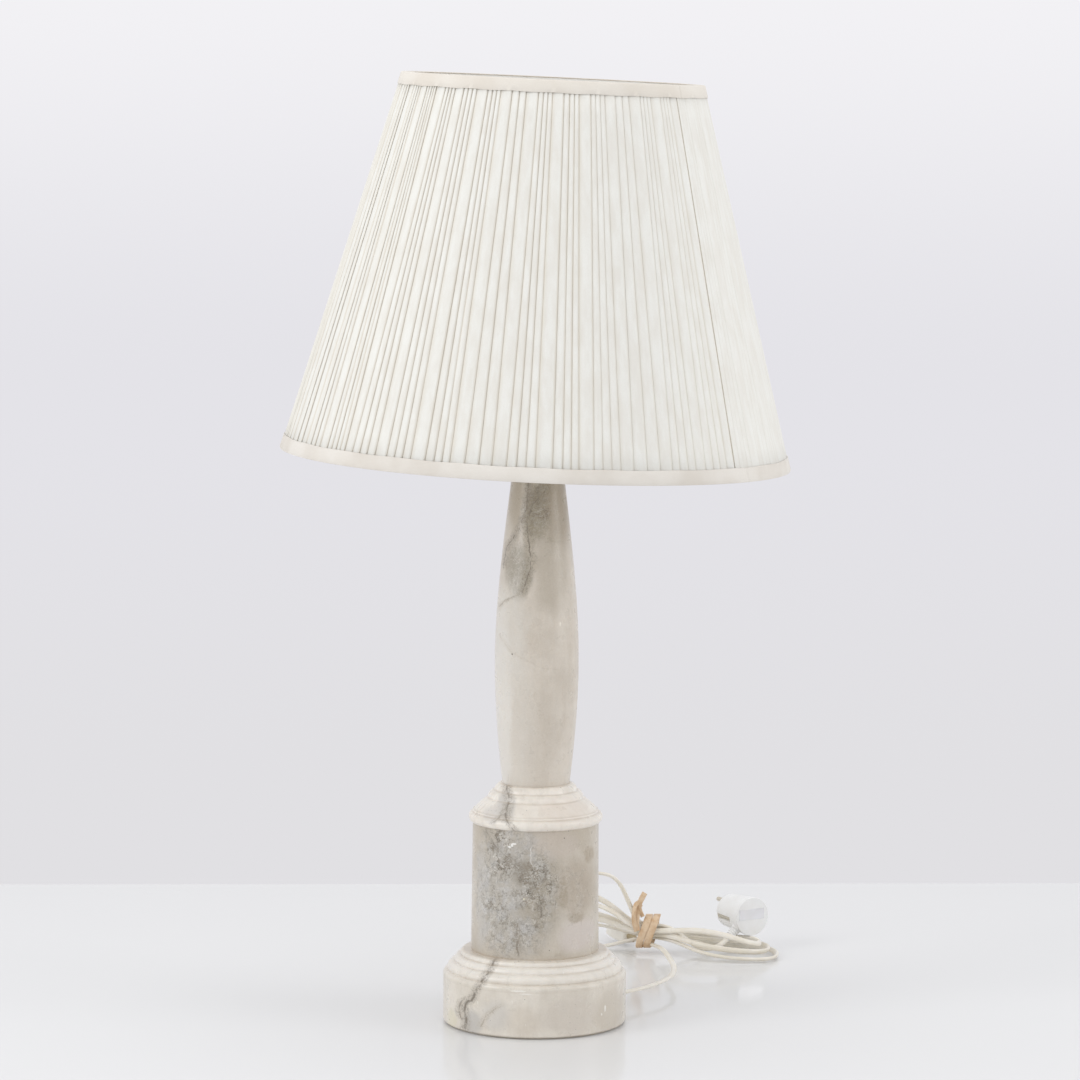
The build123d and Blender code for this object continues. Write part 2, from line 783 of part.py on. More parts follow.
stud_base_level = harp_top + harp_wire / 2 - stud_base_sink
stud_seat = harp_wire / 2 + stud_seat_clearance
hub_level = stud_base_level + stud_base_height + running_gap
hub_top = hub_level + hub_thickness
with BuildPart() as harp_stud:
    # the base is cut to sit astride the wire
    with BuildSketch(lean_plane(harp_top)):
        Circle(stud_base_diameter / 2)
    extrude(amount=stud_base_level + stud_base_height - harp_top)
    with BuildSketch(lean_plane(harp_top)):
        Rectangle(2 * stud_base_diameter, 2 * stud_seat)
    extrude(amount=stud_seat, mode=Mode.SUBTRACT)
    with BuildSketch(lean_plane(harp_top + stud_seat)):
        Circle(stud_diameter / 2)
    extrude(amount=stud_base_level + stud_base_height + stud_length - harp_top - harp_wire / 2)
save(harp_stud, "harp_stud")

ferrule_tilt = ferrule_diameter / 2 * sin(radians(lean_angle))
for side, name in ((-1, "left"), (1, "right")):
    ferrule_start = socket_level + socket_depth - lean_level + side * lean_drop + ferrule_tilt + running_gap
    with BuildPart() as ferrule:
        with BuildSketch(lean_plane(ferrule_start)):
            with Locations((side * saddle_half_span, 0)):
                Circle(ferrule_diameter / 2)
        extrude(amount=ferrule_length)
        chamfer(ferrule.edges().filter_by(GeomType.CIRCLE), ferrule_chamfer)
        with BuildSketch(lean_plane(ferrule_start)):
            with Locations((side * saddle_half_span, 0)):
                Circle(harp_wire / 2 + ferrule_clearance)
        extrude(amount=ferrule_length, mode=Mode.SUBTRACT)
    save(ferrule, f"harp_ferrule_{name}")

# ---- shade, on the same axis ----------------------------------------------------------------

shade_bottom_level = shade_top_level - shade_height
shade_taper = (shade_bottom_diameter - shade_top_diameter) / 2 / shade_height


def shade_radius(level, inset=0.0):
    """Radius of the shade's outer cone at a level, less an inset."""
    return shade_bottom_diameter / 2 - shade_taper * (level - shade_bottom_level) - inset


crest_inset = trim_thickness + seat_gap
cover_inner_inset = crest_inset + pleat_depth + cover_skin
lining_inset = cover_inner_inset + seat_gap
lining_inner_inset = lining_inset + lining_thickness
ring_inset = lining_inner_inset + seat_gap + ring_wire / 2 + ring_standoff
body_bottom = shade_bottom_level + trim_thickness + seat_gap
body_top = shade_top_level - trim_thickness - seat_gap


def cone_band(low, high, outer_inset, inner_inset):
    """Section of a band that follows the shade's slope."""
    return (
        (shade_radius(low, outer_inset), low), (shade_radius(high, outer_inset), high),
        (shade_radius(high, inner_inset), high), (shade_radius(low, inner_inset), low),
    )


with BuildPart() as shade_lining:
    with BuildSketch(lean_section):
        with BuildLine():
            Polyline(*cone_band(body_bottom, body_top, lining_inset, lining_inner_inset), close=True)
        make_face()
    revolve(axis=lean_axis)
save(shade_lining, "shade_lining")

# one repeat of the pleating: a wide flat pleat and three narrow ones (share of the repeat, height)
pleat_repeat = (
    (0.00, 1.0), (0.40, 1.0), (0.43, 0.0), (0.47, 0.8), (0.57, 0.8), (0.60, 0.0),
    (0.64, 0.8), (0.74, 0.8), (0.77, 0.0), (0.81, 0.9), (0.93, 0.9), (0.97, 0.0),
)


def pleat_ring(level):
    points = []
    for pleat in range(pleat_count):
        for share, height in pleat_repeat:
            angle = 2 * pi * (pleat + share) / pleat_count
            radius = shade_radius(level, crest_inset + pleat_depth * (1 - height))
            points.append((radius * cos(angle), radius * sin(angle)))
    return points


def lining_ring(level):
    """The cover's inside, as flats between the glued folds."""
    radius = shade_radius(level, cover_inner_inset)
    sides = pleat_count * cover_inner_flats
    return [(radius * cos(2 * pi * k / sides), radius * sin(2 * pi * k / sides)) for k in range(sides)]


with BuildPart() as pleated_cover:
    for level in (body_bottom, body_top):
        with BuildSketch(lean_plane(level)):
            Polygon(*pleat_ring(level), align=None)
    loft(ruled=True)
    for level in (body_bottom, body_top):
        with BuildSketch(lean_plane(level)):
            Polygon(*lining_ring(level), align=None)
    loft(ruled=True, mode=Mode.SUBTRACT)
save(pleated_cover, "pleated_cover")

# tape over each rim: an outer leg, and a web across the rim and its ring
web_inset = ring_inset + ring_wire / 2
with BuildPart() as top_trim:
    with BuildSketch(lean_section):
        for low, inset in ((top_trim_height, trim_thickness), (trim_thickness, web_inset)):
            with BuildLine():
                Polyline(*cone_band(shade_top_level - low, shade_top_level, 0, inset), close=True)
            make_face()
    revolve(axis=lean_axis)
save(top_trim, "top_trim")

with BuildPart() as bottom_trim:
    with BuildSketch(lean_section):
        for high, inset in ((bottom_trim_height, trim_thickness), (trim_thickness, web_inset)):
            with BuildLine():
                Polyline(*cone_band(shade_bottom_level, shade_bottom_level + high, 0, inset), close=True)
            make_face()
    revolve(axis=lean_axis)
save(bottom_trim, "bottom_trim")

bottom_ring_level = body_bottom + ring_wire / 2
with BuildPart() as shade_bottom_ring:
    with BuildSketch(lean_section):
        with Locations((shade_radius(bottom_ring_level, ring_inset), bottom_ring_level)):
            Circle(ring_wire / 2)
    revolve(axis=lean_axis)
save(shade_bottom_ring, "shade_bottom_ring")

# hub, three cranked arms and the top ring, welded together
top_ring_level = body_top - ring_wire / 2
top_ring_radius = shade_radius(top_ring_level, ring_inset)
arm_level = hub_level + hub_thickness / 2
with BuildPart() as shade_spider:
    with BuildSketch(lean_section):
        with Locations((top_ring_radius, top_ring_level)):
            Circle(ring_wire / 2)
    revolve(axis=lean_axis)
    for arm in range(arm_count):
        angle = radians(arm_start_angle + 360 * arm / arm_count)
        out = lean_across * cos(angle) + Vector(0, 1, 0) * sin(angle)
        arm_points = [
            lean_origin + lean_direction * arm_level + out * (hub_diameter / 2 - arm_root_inset),
            lean_origin + lean_direction * arm_level + out * (top_ring_radius - arm_knee_inset),
            lean_origin + lean_direction * top_ring_level + out * top_ring_radius,
        ]
        with BuildLine():
            FilletPolyline(*arm_points, radius=arm_bend)
        with BuildSketch(Plane(origin=arm_points[0], z_dir=out)):
            Circle(ring_wire / 2)
        sweep()
    with BuildSketch(lean_plane(hub_level)):
        Circle(hub_diameter / 2)
    extrude(amount=hub_thickness)
    # the arms' inner ends are flattened onto the hub, so nothing stands below or above it at the hole
    with BuildSketch(lean_plane(hub_level - ring_wire)):
        Circle(stud_base_diameter / 2 + stud_base_room)
    extrude(amount=ring_wire, mode=Mode.SUBTRACT)
    with BuildSketch(lean_plane(hub_top)):
        Circle(shade_washer_diameter / 2 + washer_room)
    extrude(amount=ring_wire, mode=Mode.SUBTRACT)
    with BuildSketch(lean_plane(hub_level - ring_wire)):
        Circle(stud_diameter / 2 + hub_hole_clearance)
    extrude(amount=hub_thickness + 2 * ring_wire, mode=Mode.SUBTRACT)
save(shade_spider, "shade_spider")

washer_level = hub_top + seat_gap
with BuildPart() as shade_washer:
    with BuildSketch(lean_plane(washer_level)):
        Circle(shade_washer_diameter / 2)
        Circle(stud_diameter / 2 + hub_hole_clearance, mode=Mode.SUBTRACT)
    extrude(amount=shade_washer_thickness)
save(shade_washer, "shade_washer")

nut_level = washer_level + shade_washer_thickness + running_gap
with BuildPart() as shade_nut:
    with BuildSketch(lean_plane(nut_level)):
        Circle(knurl_diameter / 2)
        with PolarLocations(knurl_diameter / 2 + knurl_flute_shift, knurl_flutes):
            Circle(knurl_flute_diameter / 2, mode=Mode.SUBTRACT)
    extrude(amount=knurl_height)
    with BuildSketch(lean_plane(nut_level + knurl_height)):
        Circle(knurl_diameter / 2 - knurl_crown_inset)
    extrude(amount=knurl_crown_height, taper=knurl_crown_taper)
    with BuildSketch(lean_plane(nut_level)):
        Circle(stud_diameter / 2 + knurl_thread_clearance)
    extrude(amount=knurl_height + knurl_crown_height, mode=Mode.SUBTRACT)
save(shade_nut, "shade_nut")

# ---- in-line switch -------------------------------------------------------------------------

switch_up = (Vector(0, 0, 1) - switch_direction * switch_direction.Z).normalized()
switch_total = switch_body_length + 2 * switch_relief_length
switch_far_end = switch_near_end + switch_direction * switch_total
switch_middle = switch_near_end + switch_direction * (switch_total / 2)


def switch_plane(rise):
    """Plane across the switch, with x along it, at a rise above the flex's centre."""
    return Plane(origin=switch_middle + switch_up * rise, x_dir=switch_direction, z_dir=switch_up)


def switch_outline(inset=0.0):
    half = switch_body_length / 2 - inset
    near, far = switch_near_width / 2 - inset, switch_far_width / 2 - inset
    side = [
        (-half, near), (half * switch_waist_share, far), (half * switch_end_share, far),
        (half, far * switch_end_width_share),
    ]
    return side + [(x, -y) for x, y in reversed(side)]


with BuildPart() as switch_base:
    with BuildSketch(switch_plane(-switch_base_height)):
        Polygon(*switch_outline(), align=None)
        fillet(vertices(), switch_corner)
    extrude(amount=switch_base_height)
    fillet(switch_base.faces().sort_by(Axis(switch_middle, switch_up))[0].edges(), switch_edge_round)
save(switch_base, "switch_base")

switch_across = switch_direction.cross(switch_up)
rocker_plane_shift = switch_body_length * rocker_shift_share
rocker_pin_half_length = rocker_width / 2 + running_gap + rocker_pin_reach


def rocker_pin_plane(shift):
    """Plane square to the rocker's pins, at a shift along them."""
    middle = switch_middle + switch_direction * rocker_plane_shift
    origin = middle + switch_up * (switch_cover_height - rocker_pin_drop) + switch_across * shift
    return Plane(origin=origin, x_dir=switch_direction, z_dir=switch_across)


cover_floor = switch_cover_height - rocker_depth - running_gap
with BuildPart() as switch_cover:
    with BuildSketch(switch_plane(0)):
        Polygon(*switch_outline(), align=None)
        fillet(vertices(), switch_corner)
    extrude(amount=switch_cover_height)
    fillet(switch_cover.faces().sort_by(Axis(switch_middle, switch_up))[-1].edges(), switch_edge_round)
    with BuildSketch(switch_plane(cover_floor)):
        with Locations((rocker_plane_shift, 0)):
            Rectangle(rocker_length + 2 * rocker_gap, rocker_width + 2 * running_gap)
    extrude(amount=switch_cover_height, mode=Mode.SUBTRACT)
    with BuildSketch(rocker_pin_plane(-rocker_pin_half_length - running_gap)):
        Circle(rocker_pin_diameter / 2 + rocker_pin_clearance)
    extrude(amount=2 * (rocker_pin_half_length + running_gap), mode=Mode.SUBTRACT)
save(switch_cover, "switch_cover")

# rocker: a shallow V on top, and a belly that clears the pocket as it tips
with BuildPart() as switch_rocker:
    rocker_section = Plane(
        origin=switch_middle + switch_direction * rocker_plane_shift - switch_across * (rocker_width / 2),
        x_dir=switch_direction,
        z_dir=switch_across,
    )
    with BuildSketch(rocker_section):
        with BuildLine():
            top, low = switch_cover_height, switch_cover_height - rocker_edge_drop
            belly = cover_floor + rocker_belly_clearance
            Polyline(
                (-rocker_length / 2, low), (-rocker_length / 2, top + rocker_rise),
                (0, top + rocker_middle_rise), (rocker_length / 2, top + rocker_low_rise),
                (rocker_length / 2, low), (rocker_belly_half_width, belly),
                (-rocker_belly_half_width, belly), close=True,
            )
        make_face()
    extrude(amount=rocker_width)
    with BuildSketch(rocker_pin_plane(-rocker_pin_half_length)):
        Circle(rocker_pin_diameter / 2)
    extrude(amount=2 * rocker_pin_half_length)
save(switch_rocker, "switch_rocker")

with BuildPart() as switch_reliefs:
    for start, end in (
        (switch_near_end, switch_near_end + switch_direction * switch_relief_length),
        (switch_far_end, switch_far_end - switch_direction * switch_relief_length),
    ):
        along = (end - start).normalized()
        with BuildSketch(Plane(origin=start, x_dir=switch_up, z_dir=along)):
            Circle(switch_relief_tip_diameter / 2)
        with BuildSketch(Plane(origin=end, x_dir=switch_up, z_dir=along)):
            Circle(switch_relief_diameter / 2 - switch_relief_neck)
        loft()
        for rib in range(switch_relief_ribs):
            share = (rib + 0.6) / switch_relief_ribs
            with BuildSketch(Plane(origin=start + (end - start) * share, x_dir=switch_up, z_dir=along)):
                Circle(switch_relief_tip_diameter / 2 + switch_relief_rib_rise + share)
            extrude(amount=switch_relief_rib_width)
save(switch_reliefs, "switch_reliefs")

with BuildPart() as switch_screws:
    for place in switch_screw_places:
        with BuildSketch(switch_plane(-switch_base_height - switch_screw_height)):
            with Locations((place * switch_body_length / 2, 0)):
                Circle(switch_screw_diameter / 2)
        extrude(amount=switch_screw_height)
save(switch_screws, "switch_screws")

# ---- plug -----------------------------------------------------------------------------------

plug_side = Vector(0, 0, 1).cross(plug_facing)
relief_direction = (
    plug_side * -cos(radians(plug_relief_fall)) - Vector(0, 0, 1) * sin(radians(plug_relief_fall))
)


def plug_plane(depth):
    """Plane square to the plug's axis, at a depth behind its flat back, with x along the earth clips."""
    clip_side = plug_side * cos(radians(plug_roll)) + Vector(0, 0, 1) * sin(radians(plug_roll))
    return Plane(origin=plug_back - plug_facing * depth, x_dir=clip_side, z_dir=-plug_facing)


relief_depth = plug_length * plug_relief_depth_share
relief_root = plug_back - plug_facing * relief_depth
relief_root += relief_direction * (plug_back_diameter / 2 - plug_relief_sink)
relief_tip = relief_root + relief_direction * plug_relief_length
with BuildPart() as plug_body:
    with BuildSketch(plug_plane(0)):
        Circle(plug_back_diameter / 2)
    with BuildSketch(plug_plane(plug_length)):
        Circle(plug_front_diameter / 2)
    loft()
    fillet(plug_body.faces().sort_by(Axis(plug_back, plug_facing))[-1].edges(), plug_back_round)
    fillet(plug_body.faces().sort_by(Axis(plug_back, plug_facing))[0].edges(), plug_edge_round)
    # side slots for the earth clips, one each side
    for side in (-1, 1):
        with BuildSketch(plug_plane(plug_length - earth_slot_length)):
            with Locations((side * plug_front_diameter / 2, 0)):
                Rectangle(2 * earth_slot_depth, earth_slot_width)
        extrude(amount=earth_slot_length, mode=Mode.SUBTRACT)
    # seat for the relief
    with BuildSketch(Plane(origin=relief_root, z_dir=relief_direction)):
        Circle(plug_relief_diameter / 2 + plug_relief_seat_wall)
    extrude(amount=plug_relief_seat_length)
save(plug_body, "plug_body")

with BuildPart() as plug_pins:
    with BuildSketch(plug_plane(plug_length)):
        with Locations((0, plug_pin_spacing / 2), (0, -plug_pin_spacing / 2)):
            Circle(plug_pin_diameter / 2)
    extrude(amount=plug_pin_length)
    pin_ends = plug_pins.faces().filter_by(GeomType.PLANE).group_by(Axis(plug_back, plug_facing))[0]
    fillet(pin_ends.edges(), plug_pin_round)
save(plug_pins, "plug_pins")

with BuildPart() as plug_earth_clips:
    clip_middle = plug_front_diameter / 2 - earth_slot_depth + earth_clip_thickness / 2 + earth_clip_seat_gap
    for side in (-1, 1):
        with BuildSketch(plug_plane(plug_length - earth_slot_length + earth_clip_end_gap)):
            with Locations((side * clip_middle, 0)):
                Rectangle(earth_clip_thickness, earth_slot_width - 2 * earth_clip_side_gap)
        extrude(amount=earth_slot_length - earth_clip_end_gap - earth_clip_front_gap)
save(plug_earth_clips, "plug_earth_clips")

with BuildPart() as plug_relief:
    relief_start = relief_root + relief_direction * plug_relief_seat_length
    with BuildSketch(Plane(origin=relief_start, z_dir=relief_direction)):
        Circle(plug_relief_diameter / 2)
    with BuildSketch(Plane(origin=relief_tip, z_dir=relief_direction)):
        Circle(plug_relief_tip_diameter / 2)
    loft()
    for rib in range(plug_relief_ribs):
        share = (rib + 0.5) / (plug_relief_ribs + 0.5)
        start = relief_start + (relief_tip - relief_start) * share
        with BuildSketch(Plane(origin=start, z_dir=relief_direction)):
            Circle(plug_relief_diameter / 2 + plug_relief_rib_rise - share * plug_relief_rib_fall)
        extrude(amount=plug_relief_rib_width)
save(plug_relief, "plug_relief")

with BuildPart() as plug_foil:
    with BuildSketch(Plane(origin=plug_back, x_dir=plug_side, z_dir=plug_facing)):
        with Locations(foil_shift):
            Rectangle(foil_width, foil_height)
    extrude(amount=foil_thickness)
save(plug_foil, "plug_foil")

# ---- free flex and hank ---------------------------------------------------------------------


def slot(layer, side, shift):
    """A strand's place in the tie: layer 0 to 3, side -1 or 1, shifted along the waist."""
    spread = side * slot_half_spread
    climb = (layer - 1.5) * slot_pitch
    c, s = cos(radians(slot_turn)), sin(radians(slot_turn))
    return (waist.X + shift, waist.Y + spread * c - climb * s, waist.Z + spread * s + climb * c)


def right_lobe(loop):
    """Out along the back, round the end, and home along the front, one layer up."""
    level = right_layer_start + right_layer_pitch * loop
    width, end = right_lobe_half_widths[loop], waist.X + right_lobe_lengths[loop]
    knee = waist.X + lobe_knee
    return [
        (knee, right_lobe_middle + width * right_lobe_fan, level + right_back_rise),
        (end, right_lobe_middle + width, level),
        (end, right_lobe_middle - width, level + right_front_rise),
        (knee, right_lobe_middle - width * right_lobe_fan, level + right_front_knee_rises[loop]),
    ]


def left_lobe(loop):
    """Out low, up round the end, and home high, in an upright plane of its own."""
    y = waist.Y - (loop - 1.5) * left_plane_pitch
    low, high = left_lower_levels[loop - 1], left_upper_levels[loop - 1]
    end = waist.X - left_lobe_lengths[loop - 1]
    knee = waist.X - lobe_knee
    bulge = max(0.0, left_least_bulge - (high - low) / 2)
    return [
        (knee, y, low), (end, y, max(low - bulge, left_least_level)), (end, y, high + bulge), (knee, y, high),
    ]


lead_points = [tuple(exit_point), tuple(exit_point + exit_plane.z_dir * lead_first_run)] + lead_route
lead_points.append(tuple(switch_near_end - switch_direction * switch_lead_run))
lead_points.append(tuple(switch_near_end))

hank_points = [tuple(switch_far_end), tuple(switch_far_end + switch_direction * switch_tail_run)]
hank_points += switch_tail_route
hank_points.append((waist.X - lobe_knee, waist.Y + 1.5 * left_plane_pitch, left_entry_level))
for loop in range(3):
    hank_points += [slot(loop, 1, -waist_half_length), slot(loop, 1, waist_half_length)]
    hank_points += right_lobe(loop)
    hank_points += [slot(loop + 1, -1, waist_half_length), slot(loop + 1, -1, -waist_half_length)]
    hank_points += left_lobe(loop + 1)
hank_points += high_loop_fall
hank_points += [slot(3, 1, -waist_half_length), slot(3, 1, waist_half_length)]
hank_points += plug_strand_route
hank_points += [tuple(relief_tip + relief_direction * plug_approach), tuple(relief_tip)]


def flex(points):
    radii = route_radii(points)
    with BuildPart() as tube:
        with BuildLine():
            FilletPolyline(*points, radius=radii)
        with BuildSketch(start_plane(points)):
            Circle(cord_diameter / 2)
        sweep()
    return tube, radii


cord_lead, lead_radii = flex(lead_points)
report_tube("cord_lead", cord_lead, lead_points, lead_radii)
save(cord_lead, "cord_lead")
cord_hank, hank_radii = flex(hank_points)
report_tube("cord_hank", cord_hank, hank_points, hank_radii)
save(cord_hank, "cord_hank")


def least_gap(points, radii, step=2.0):
    """Least distance of the tube to itself, on points along its centre line."""
    with BuildLine() as line:
        FilletPolyline(*points, radius=radii)
    wire = line.wire()
    count = int(wire.length / step)
    places = [wire.position_at(i / count) for i in range(count + 1)]
    skip = int(4 * cord_diameter / step)
    best = (1e9, None)
    for i, a in enumerate(places):
        for b in places[i + skip:]:
            if abs(a.X - b.X) > 12 or abs(a.Y - b.Y) > 12 or abs(a.Z - b.Z) > 12:
                continue
            gap = (a - b).length - cord_diameter
            if gap < best[0]:
                best = (gap, a)
    return best


gap, place = least_gap(hank_points, hank_radii)
print(f"cord_hank: least gap to itself {gap:.2f} at {place}")

# the tie: flat turns round the waist, and its cut end standing up beside the knot
tie_origin = waist + Vector(0, 0, tie_rise)
tie_outer_width = tie_inner_width + 2 * tie_band
tie_outer_height = tie_inner_height + 2 * tie_band
tie_pitch = tie_wrap_width + tie_wrap_gap
with BuildPart() as cord_tie:
    for wrap in range(tie_wraps):
        start = tie_origin + Vector((wrap - (tie_wraps - 1) / 2) * tie_pitch - tie_wrap_width / 2, 0, 0)
        with BuildSketch(Plane(origin=start, x_dir=(0, 1, 0), z_dir=(1, 0, 0))):
            RectangleRounded(tie_outer_width, tie_outer_height, tie_corner + tie_band)
            RectangleRounded(tie_inner_width, tie_inner_height, tie_corner, mode=Mode.SUBTRACT)
        extrude(amount=tie_wrap_width if wrap == tie_wraps - 1 else tie_pitch)
    tail_foot = tie_origin + Vector(-tie_tail_shift, 0, (tie_inner_height + tie_band) / 2)
    with BuildSketch(Plane(origin=tail_foot, x_dir=(1, 0, 0), z_dir=tie_tail_direction)):
        Rectangle(tie_tail_width, tie_tail_thickness)
    extrude(amount=tie_tail_length)
save(cord_tie, "cord_tie")
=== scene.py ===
import math
import random

import bpy
from mathutils import Matrix, Vector


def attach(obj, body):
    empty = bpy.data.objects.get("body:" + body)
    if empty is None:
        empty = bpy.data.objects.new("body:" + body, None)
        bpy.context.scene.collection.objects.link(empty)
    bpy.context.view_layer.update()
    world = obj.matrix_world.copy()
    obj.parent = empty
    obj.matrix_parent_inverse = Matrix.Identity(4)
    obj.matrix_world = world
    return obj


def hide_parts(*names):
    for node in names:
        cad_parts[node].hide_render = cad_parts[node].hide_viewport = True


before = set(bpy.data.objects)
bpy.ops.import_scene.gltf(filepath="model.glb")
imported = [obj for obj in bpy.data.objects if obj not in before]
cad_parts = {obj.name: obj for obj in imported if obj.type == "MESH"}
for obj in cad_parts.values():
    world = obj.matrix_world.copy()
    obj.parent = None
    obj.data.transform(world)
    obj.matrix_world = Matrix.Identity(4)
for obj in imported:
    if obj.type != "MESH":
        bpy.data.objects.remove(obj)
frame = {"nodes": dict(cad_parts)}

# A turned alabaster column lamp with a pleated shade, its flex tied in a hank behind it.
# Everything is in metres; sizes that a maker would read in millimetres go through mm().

nodes, scene = frame["nodes"], bpy.context.scene
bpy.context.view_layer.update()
chance = random.Random(55)
UP = Vector((0, 0, 1))


def mm(value):
    return value / 1000


def point_mm(x, y, z):
    return Vector((x, y, z)) / 1000


# ---- camera --------------------------------------------------------

CAMERA_PLACE = Vector((0.00235, -4.4, 0.979))
CAMERA_PITCH_DOWN = math.radians(6.46)
CAMERA_ROLL = math.radians(0.40)
CAMERA_LENS, SENSOR_WIDTH = 150.1, 36.0         # in millimetres


def make_camera():
    data = bpy.data.cameras.new("portrait_camera")
    data.lens = CAMERA_LENS
    data.sensor_width = SENSOR_WIDTH
    data.clip_start, data.clip_end = 0.1, 50.0
    camera = bpy.data.objects.new("portrait_camera", data)
    scene.collection.objects.link(camera)
    pitch = Matrix.Rotation(math.pi / 2 - CAMERA_PITCH_DOWN, 4, "X")
    camera.matrix_world = Matrix.Translation(CAMERA_PLACE) @ pitch @ Matrix.Rotation(CAMERA_ROLL, 4, "Z")
    scene.camera = camera


make_camera()

# ---- routes of the flex, in millimetres, as the maker laid them ----

FLEX_WIDTH, FLEX_THICKNESS = mm(6.0), mm(3.9)
FLEX_SIDES, FLEX_CREASE, FLEX_CREASE_REACH = 16, 0.10, 0.28
ROUTE_ORDER, ROUTE_STEPS = 3, 9
EXIT_ANGLE, EXIT_RADIUS, EXIT_HEIGHT = math.radians(37), 92.8, 14.0
LEAD_FIRST_RUN = 33.0
LEAD_ROUTE = [
    (125, 105, 15), (142, 145, 15), (145, 188, 16), (140, 228, 17), (136, 264, 17), (131, 302, 13), (122, 330, 10.5),
]
SWITCH_NEAR_END = Vector((106.5, 352, 11))
SWITCH_DIRECTION = Vector((-0.39, 0.91, 0.12)).normalized()
SWITCH_LENGTH, SWITCH_LEAD_RUN, SWITCH_TAIL_RUN = 60.0, 12.0, 20.0
SWITCH_TAIL_ROUTE = [(54, 437, 13), (22, 425, 6), (4, 396, 5), (0, 364, 14), (18, 344, 29)]
PLUG_STRAND_ROUTE = [(158, 322, 20), (175, 320, 7)]
PLUG_BACK = Vector((232, 334, 39.8))
PLUG_FACING = Vector((0.53, -0.848, 0)).normalized()
PLUG_DIAMETER, PLUG_DEPTH, PLUG_RELIEF_SHARE = 41.5, 44.0, 0.18
PLUG_RELIEF_FALL, PLUG_RELIEF_LENGTH, PLUG_APPROACH = math.radians(40), 18.0, 14.0
PLUG_RELIEF_ROOT = 3.0      # how deep the relief's root sits in the plug

WAIST = Vector((126, 330, 22))
WAIST_HALF_LENGTH, SLOT_TURN, SLOT_PITCH, SLOT_HALF_SPREAD = 16.0, math.radians(45), 6.5, 3.6
LOBE_KNEE, RIGHT_LOBE_MIDDLE, RIGHT_LOBE_FAN = 58.0, 316.0, 0.8
RIGHT_LOBE_LENGTHS, RIGHT_LOBE_HALF_WIDTHS = (131, 122, 113), (38, 31, 25)
RIGHT_LAYER_START, RIGHT_LAYER_PITCH = 3.0, 6.3
LEFT_PLANE_PITCH, LEFT_LOBE_LENGTHS = 7.5, (112, 100, 118)
LEFT_LOWER_LEVELS, LEFT_UPPER_LEVELS = (4, 40, 58), (44, 64, 90)
RIGHT_BACK_KNEE_RISE, RIGHT_FRONT_RISE, RIGHT_FRONT_KNEE_RISES = 3, 0.5, (2.5, 4.5, 17)
FIRST_LEFT_KNEE_LEVEL, LOWEST_LEVEL, END_HALF_HEIGHT = 30, 3.5, 15.0
HIGH_LOOP_FALL = [(88, 319, 83), (101, 321, 54)]


def slot_in_tie(layer, side, shift):
    """A strand's place in the tie: layer 0 to 3, side -1 or 1, shifted along the waist."""
    spread, climb = side * SLOT_HALF_SPREAD, (layer - 1.5) * SLOT_PITCH
    c, s = math.cos(SLOT_TURN), math.sin(SLOT_TURN)
    return (WAIST.x + shift, WAIST.y + spread * c - climb * s, WAIST.z + spread * s + climb * c)


def right_lobe(loop):
    """A loop to the right of the tie, lying flat: out at the back and home at the front."""
    level = RIGHT_LAYER_START + RIGHT_LAYER_PITCH * loop
    width, end, knee = RIGHT_LOBE_HALF_WIDTHS[loop], WAIST.x + RIGHT_LOBE_LENGTHS[loop], WAIST.x + LOBE_KNEE
    return [
        (knee, RIGHT_LOBE_MIDDLE + width * RIGHT_LOBE_FAN, level + RIGHT_BACK_KNEE_RISE),
        (end, RIGHT_LOBE_MIDDLE + width, level),
        (end, RIGHT_LOBE_MIDDLE - width, level + RIGHT_FRONT_RISE),
        (knee, RIGHT_LOBE_MIDDLE - width * RIGHT_LOBE_FAN, level + RIGHT_FRONT_KNEE_RISES[loop]),
    ]


def left_lobe(loop):
    """A loop to the left of the tie, standing on edge: out below and home above."""
    y = WAIST.y - (loop - 1.5) * LEFT_PLANE_PITCH
    low, high = LEFT_LOWER_LEVELS[loop - 1], LEFT_UPPER_LEVELS[loop - 1]
    end, knee = WAIST.x - LEFT_LOBE_LENGTHS[loop - 1], WAIST.x - LOBE_KNEE
    bulge = max(0.0, END_HALF_HEIGHT - (high - low) / 2)
    return [(knee, y, low), (end, y, max(low - bulge, LOWEST_LEVEL)), (end, y, high + bulge), (knee, y, high)]


def lead_route():
    out = Vector((math.cos(EXIT_ANGLE), math.sin(EXIT_ANGLE), 0))
    start = out * EXIT_RADIUS + UP * EXIT_HEIGHT
    route = [start, start + out * LEAD_FIRST_RUN] + LEAD_ROUTE
    return route + [SWITCH_NEAR_END - SWITCH_DIRECTION * SWITCH_LEAD_RUN, SWITCH_NEAR_END]


def plug_relief_tip():
    """Where the flex enters the plug's relief, and the way the relief points."""
    direction = -UP.cross(PLUG_FACING) * math.cos(PLUG_RELIEF_FALL) - UP * math.sin(PLUG_RELIEF_FALL)
    root = PLUG_BACK - PLUG_FACING * PLUG_DEPTH * PLUG_RELIEF_SHARE
    root += direction * (PLUG_DIAMETER / 2 - PLUG_RELIEF_ROOT)
    return root + direction * PLUG_RELIEF_LENGTH, direction


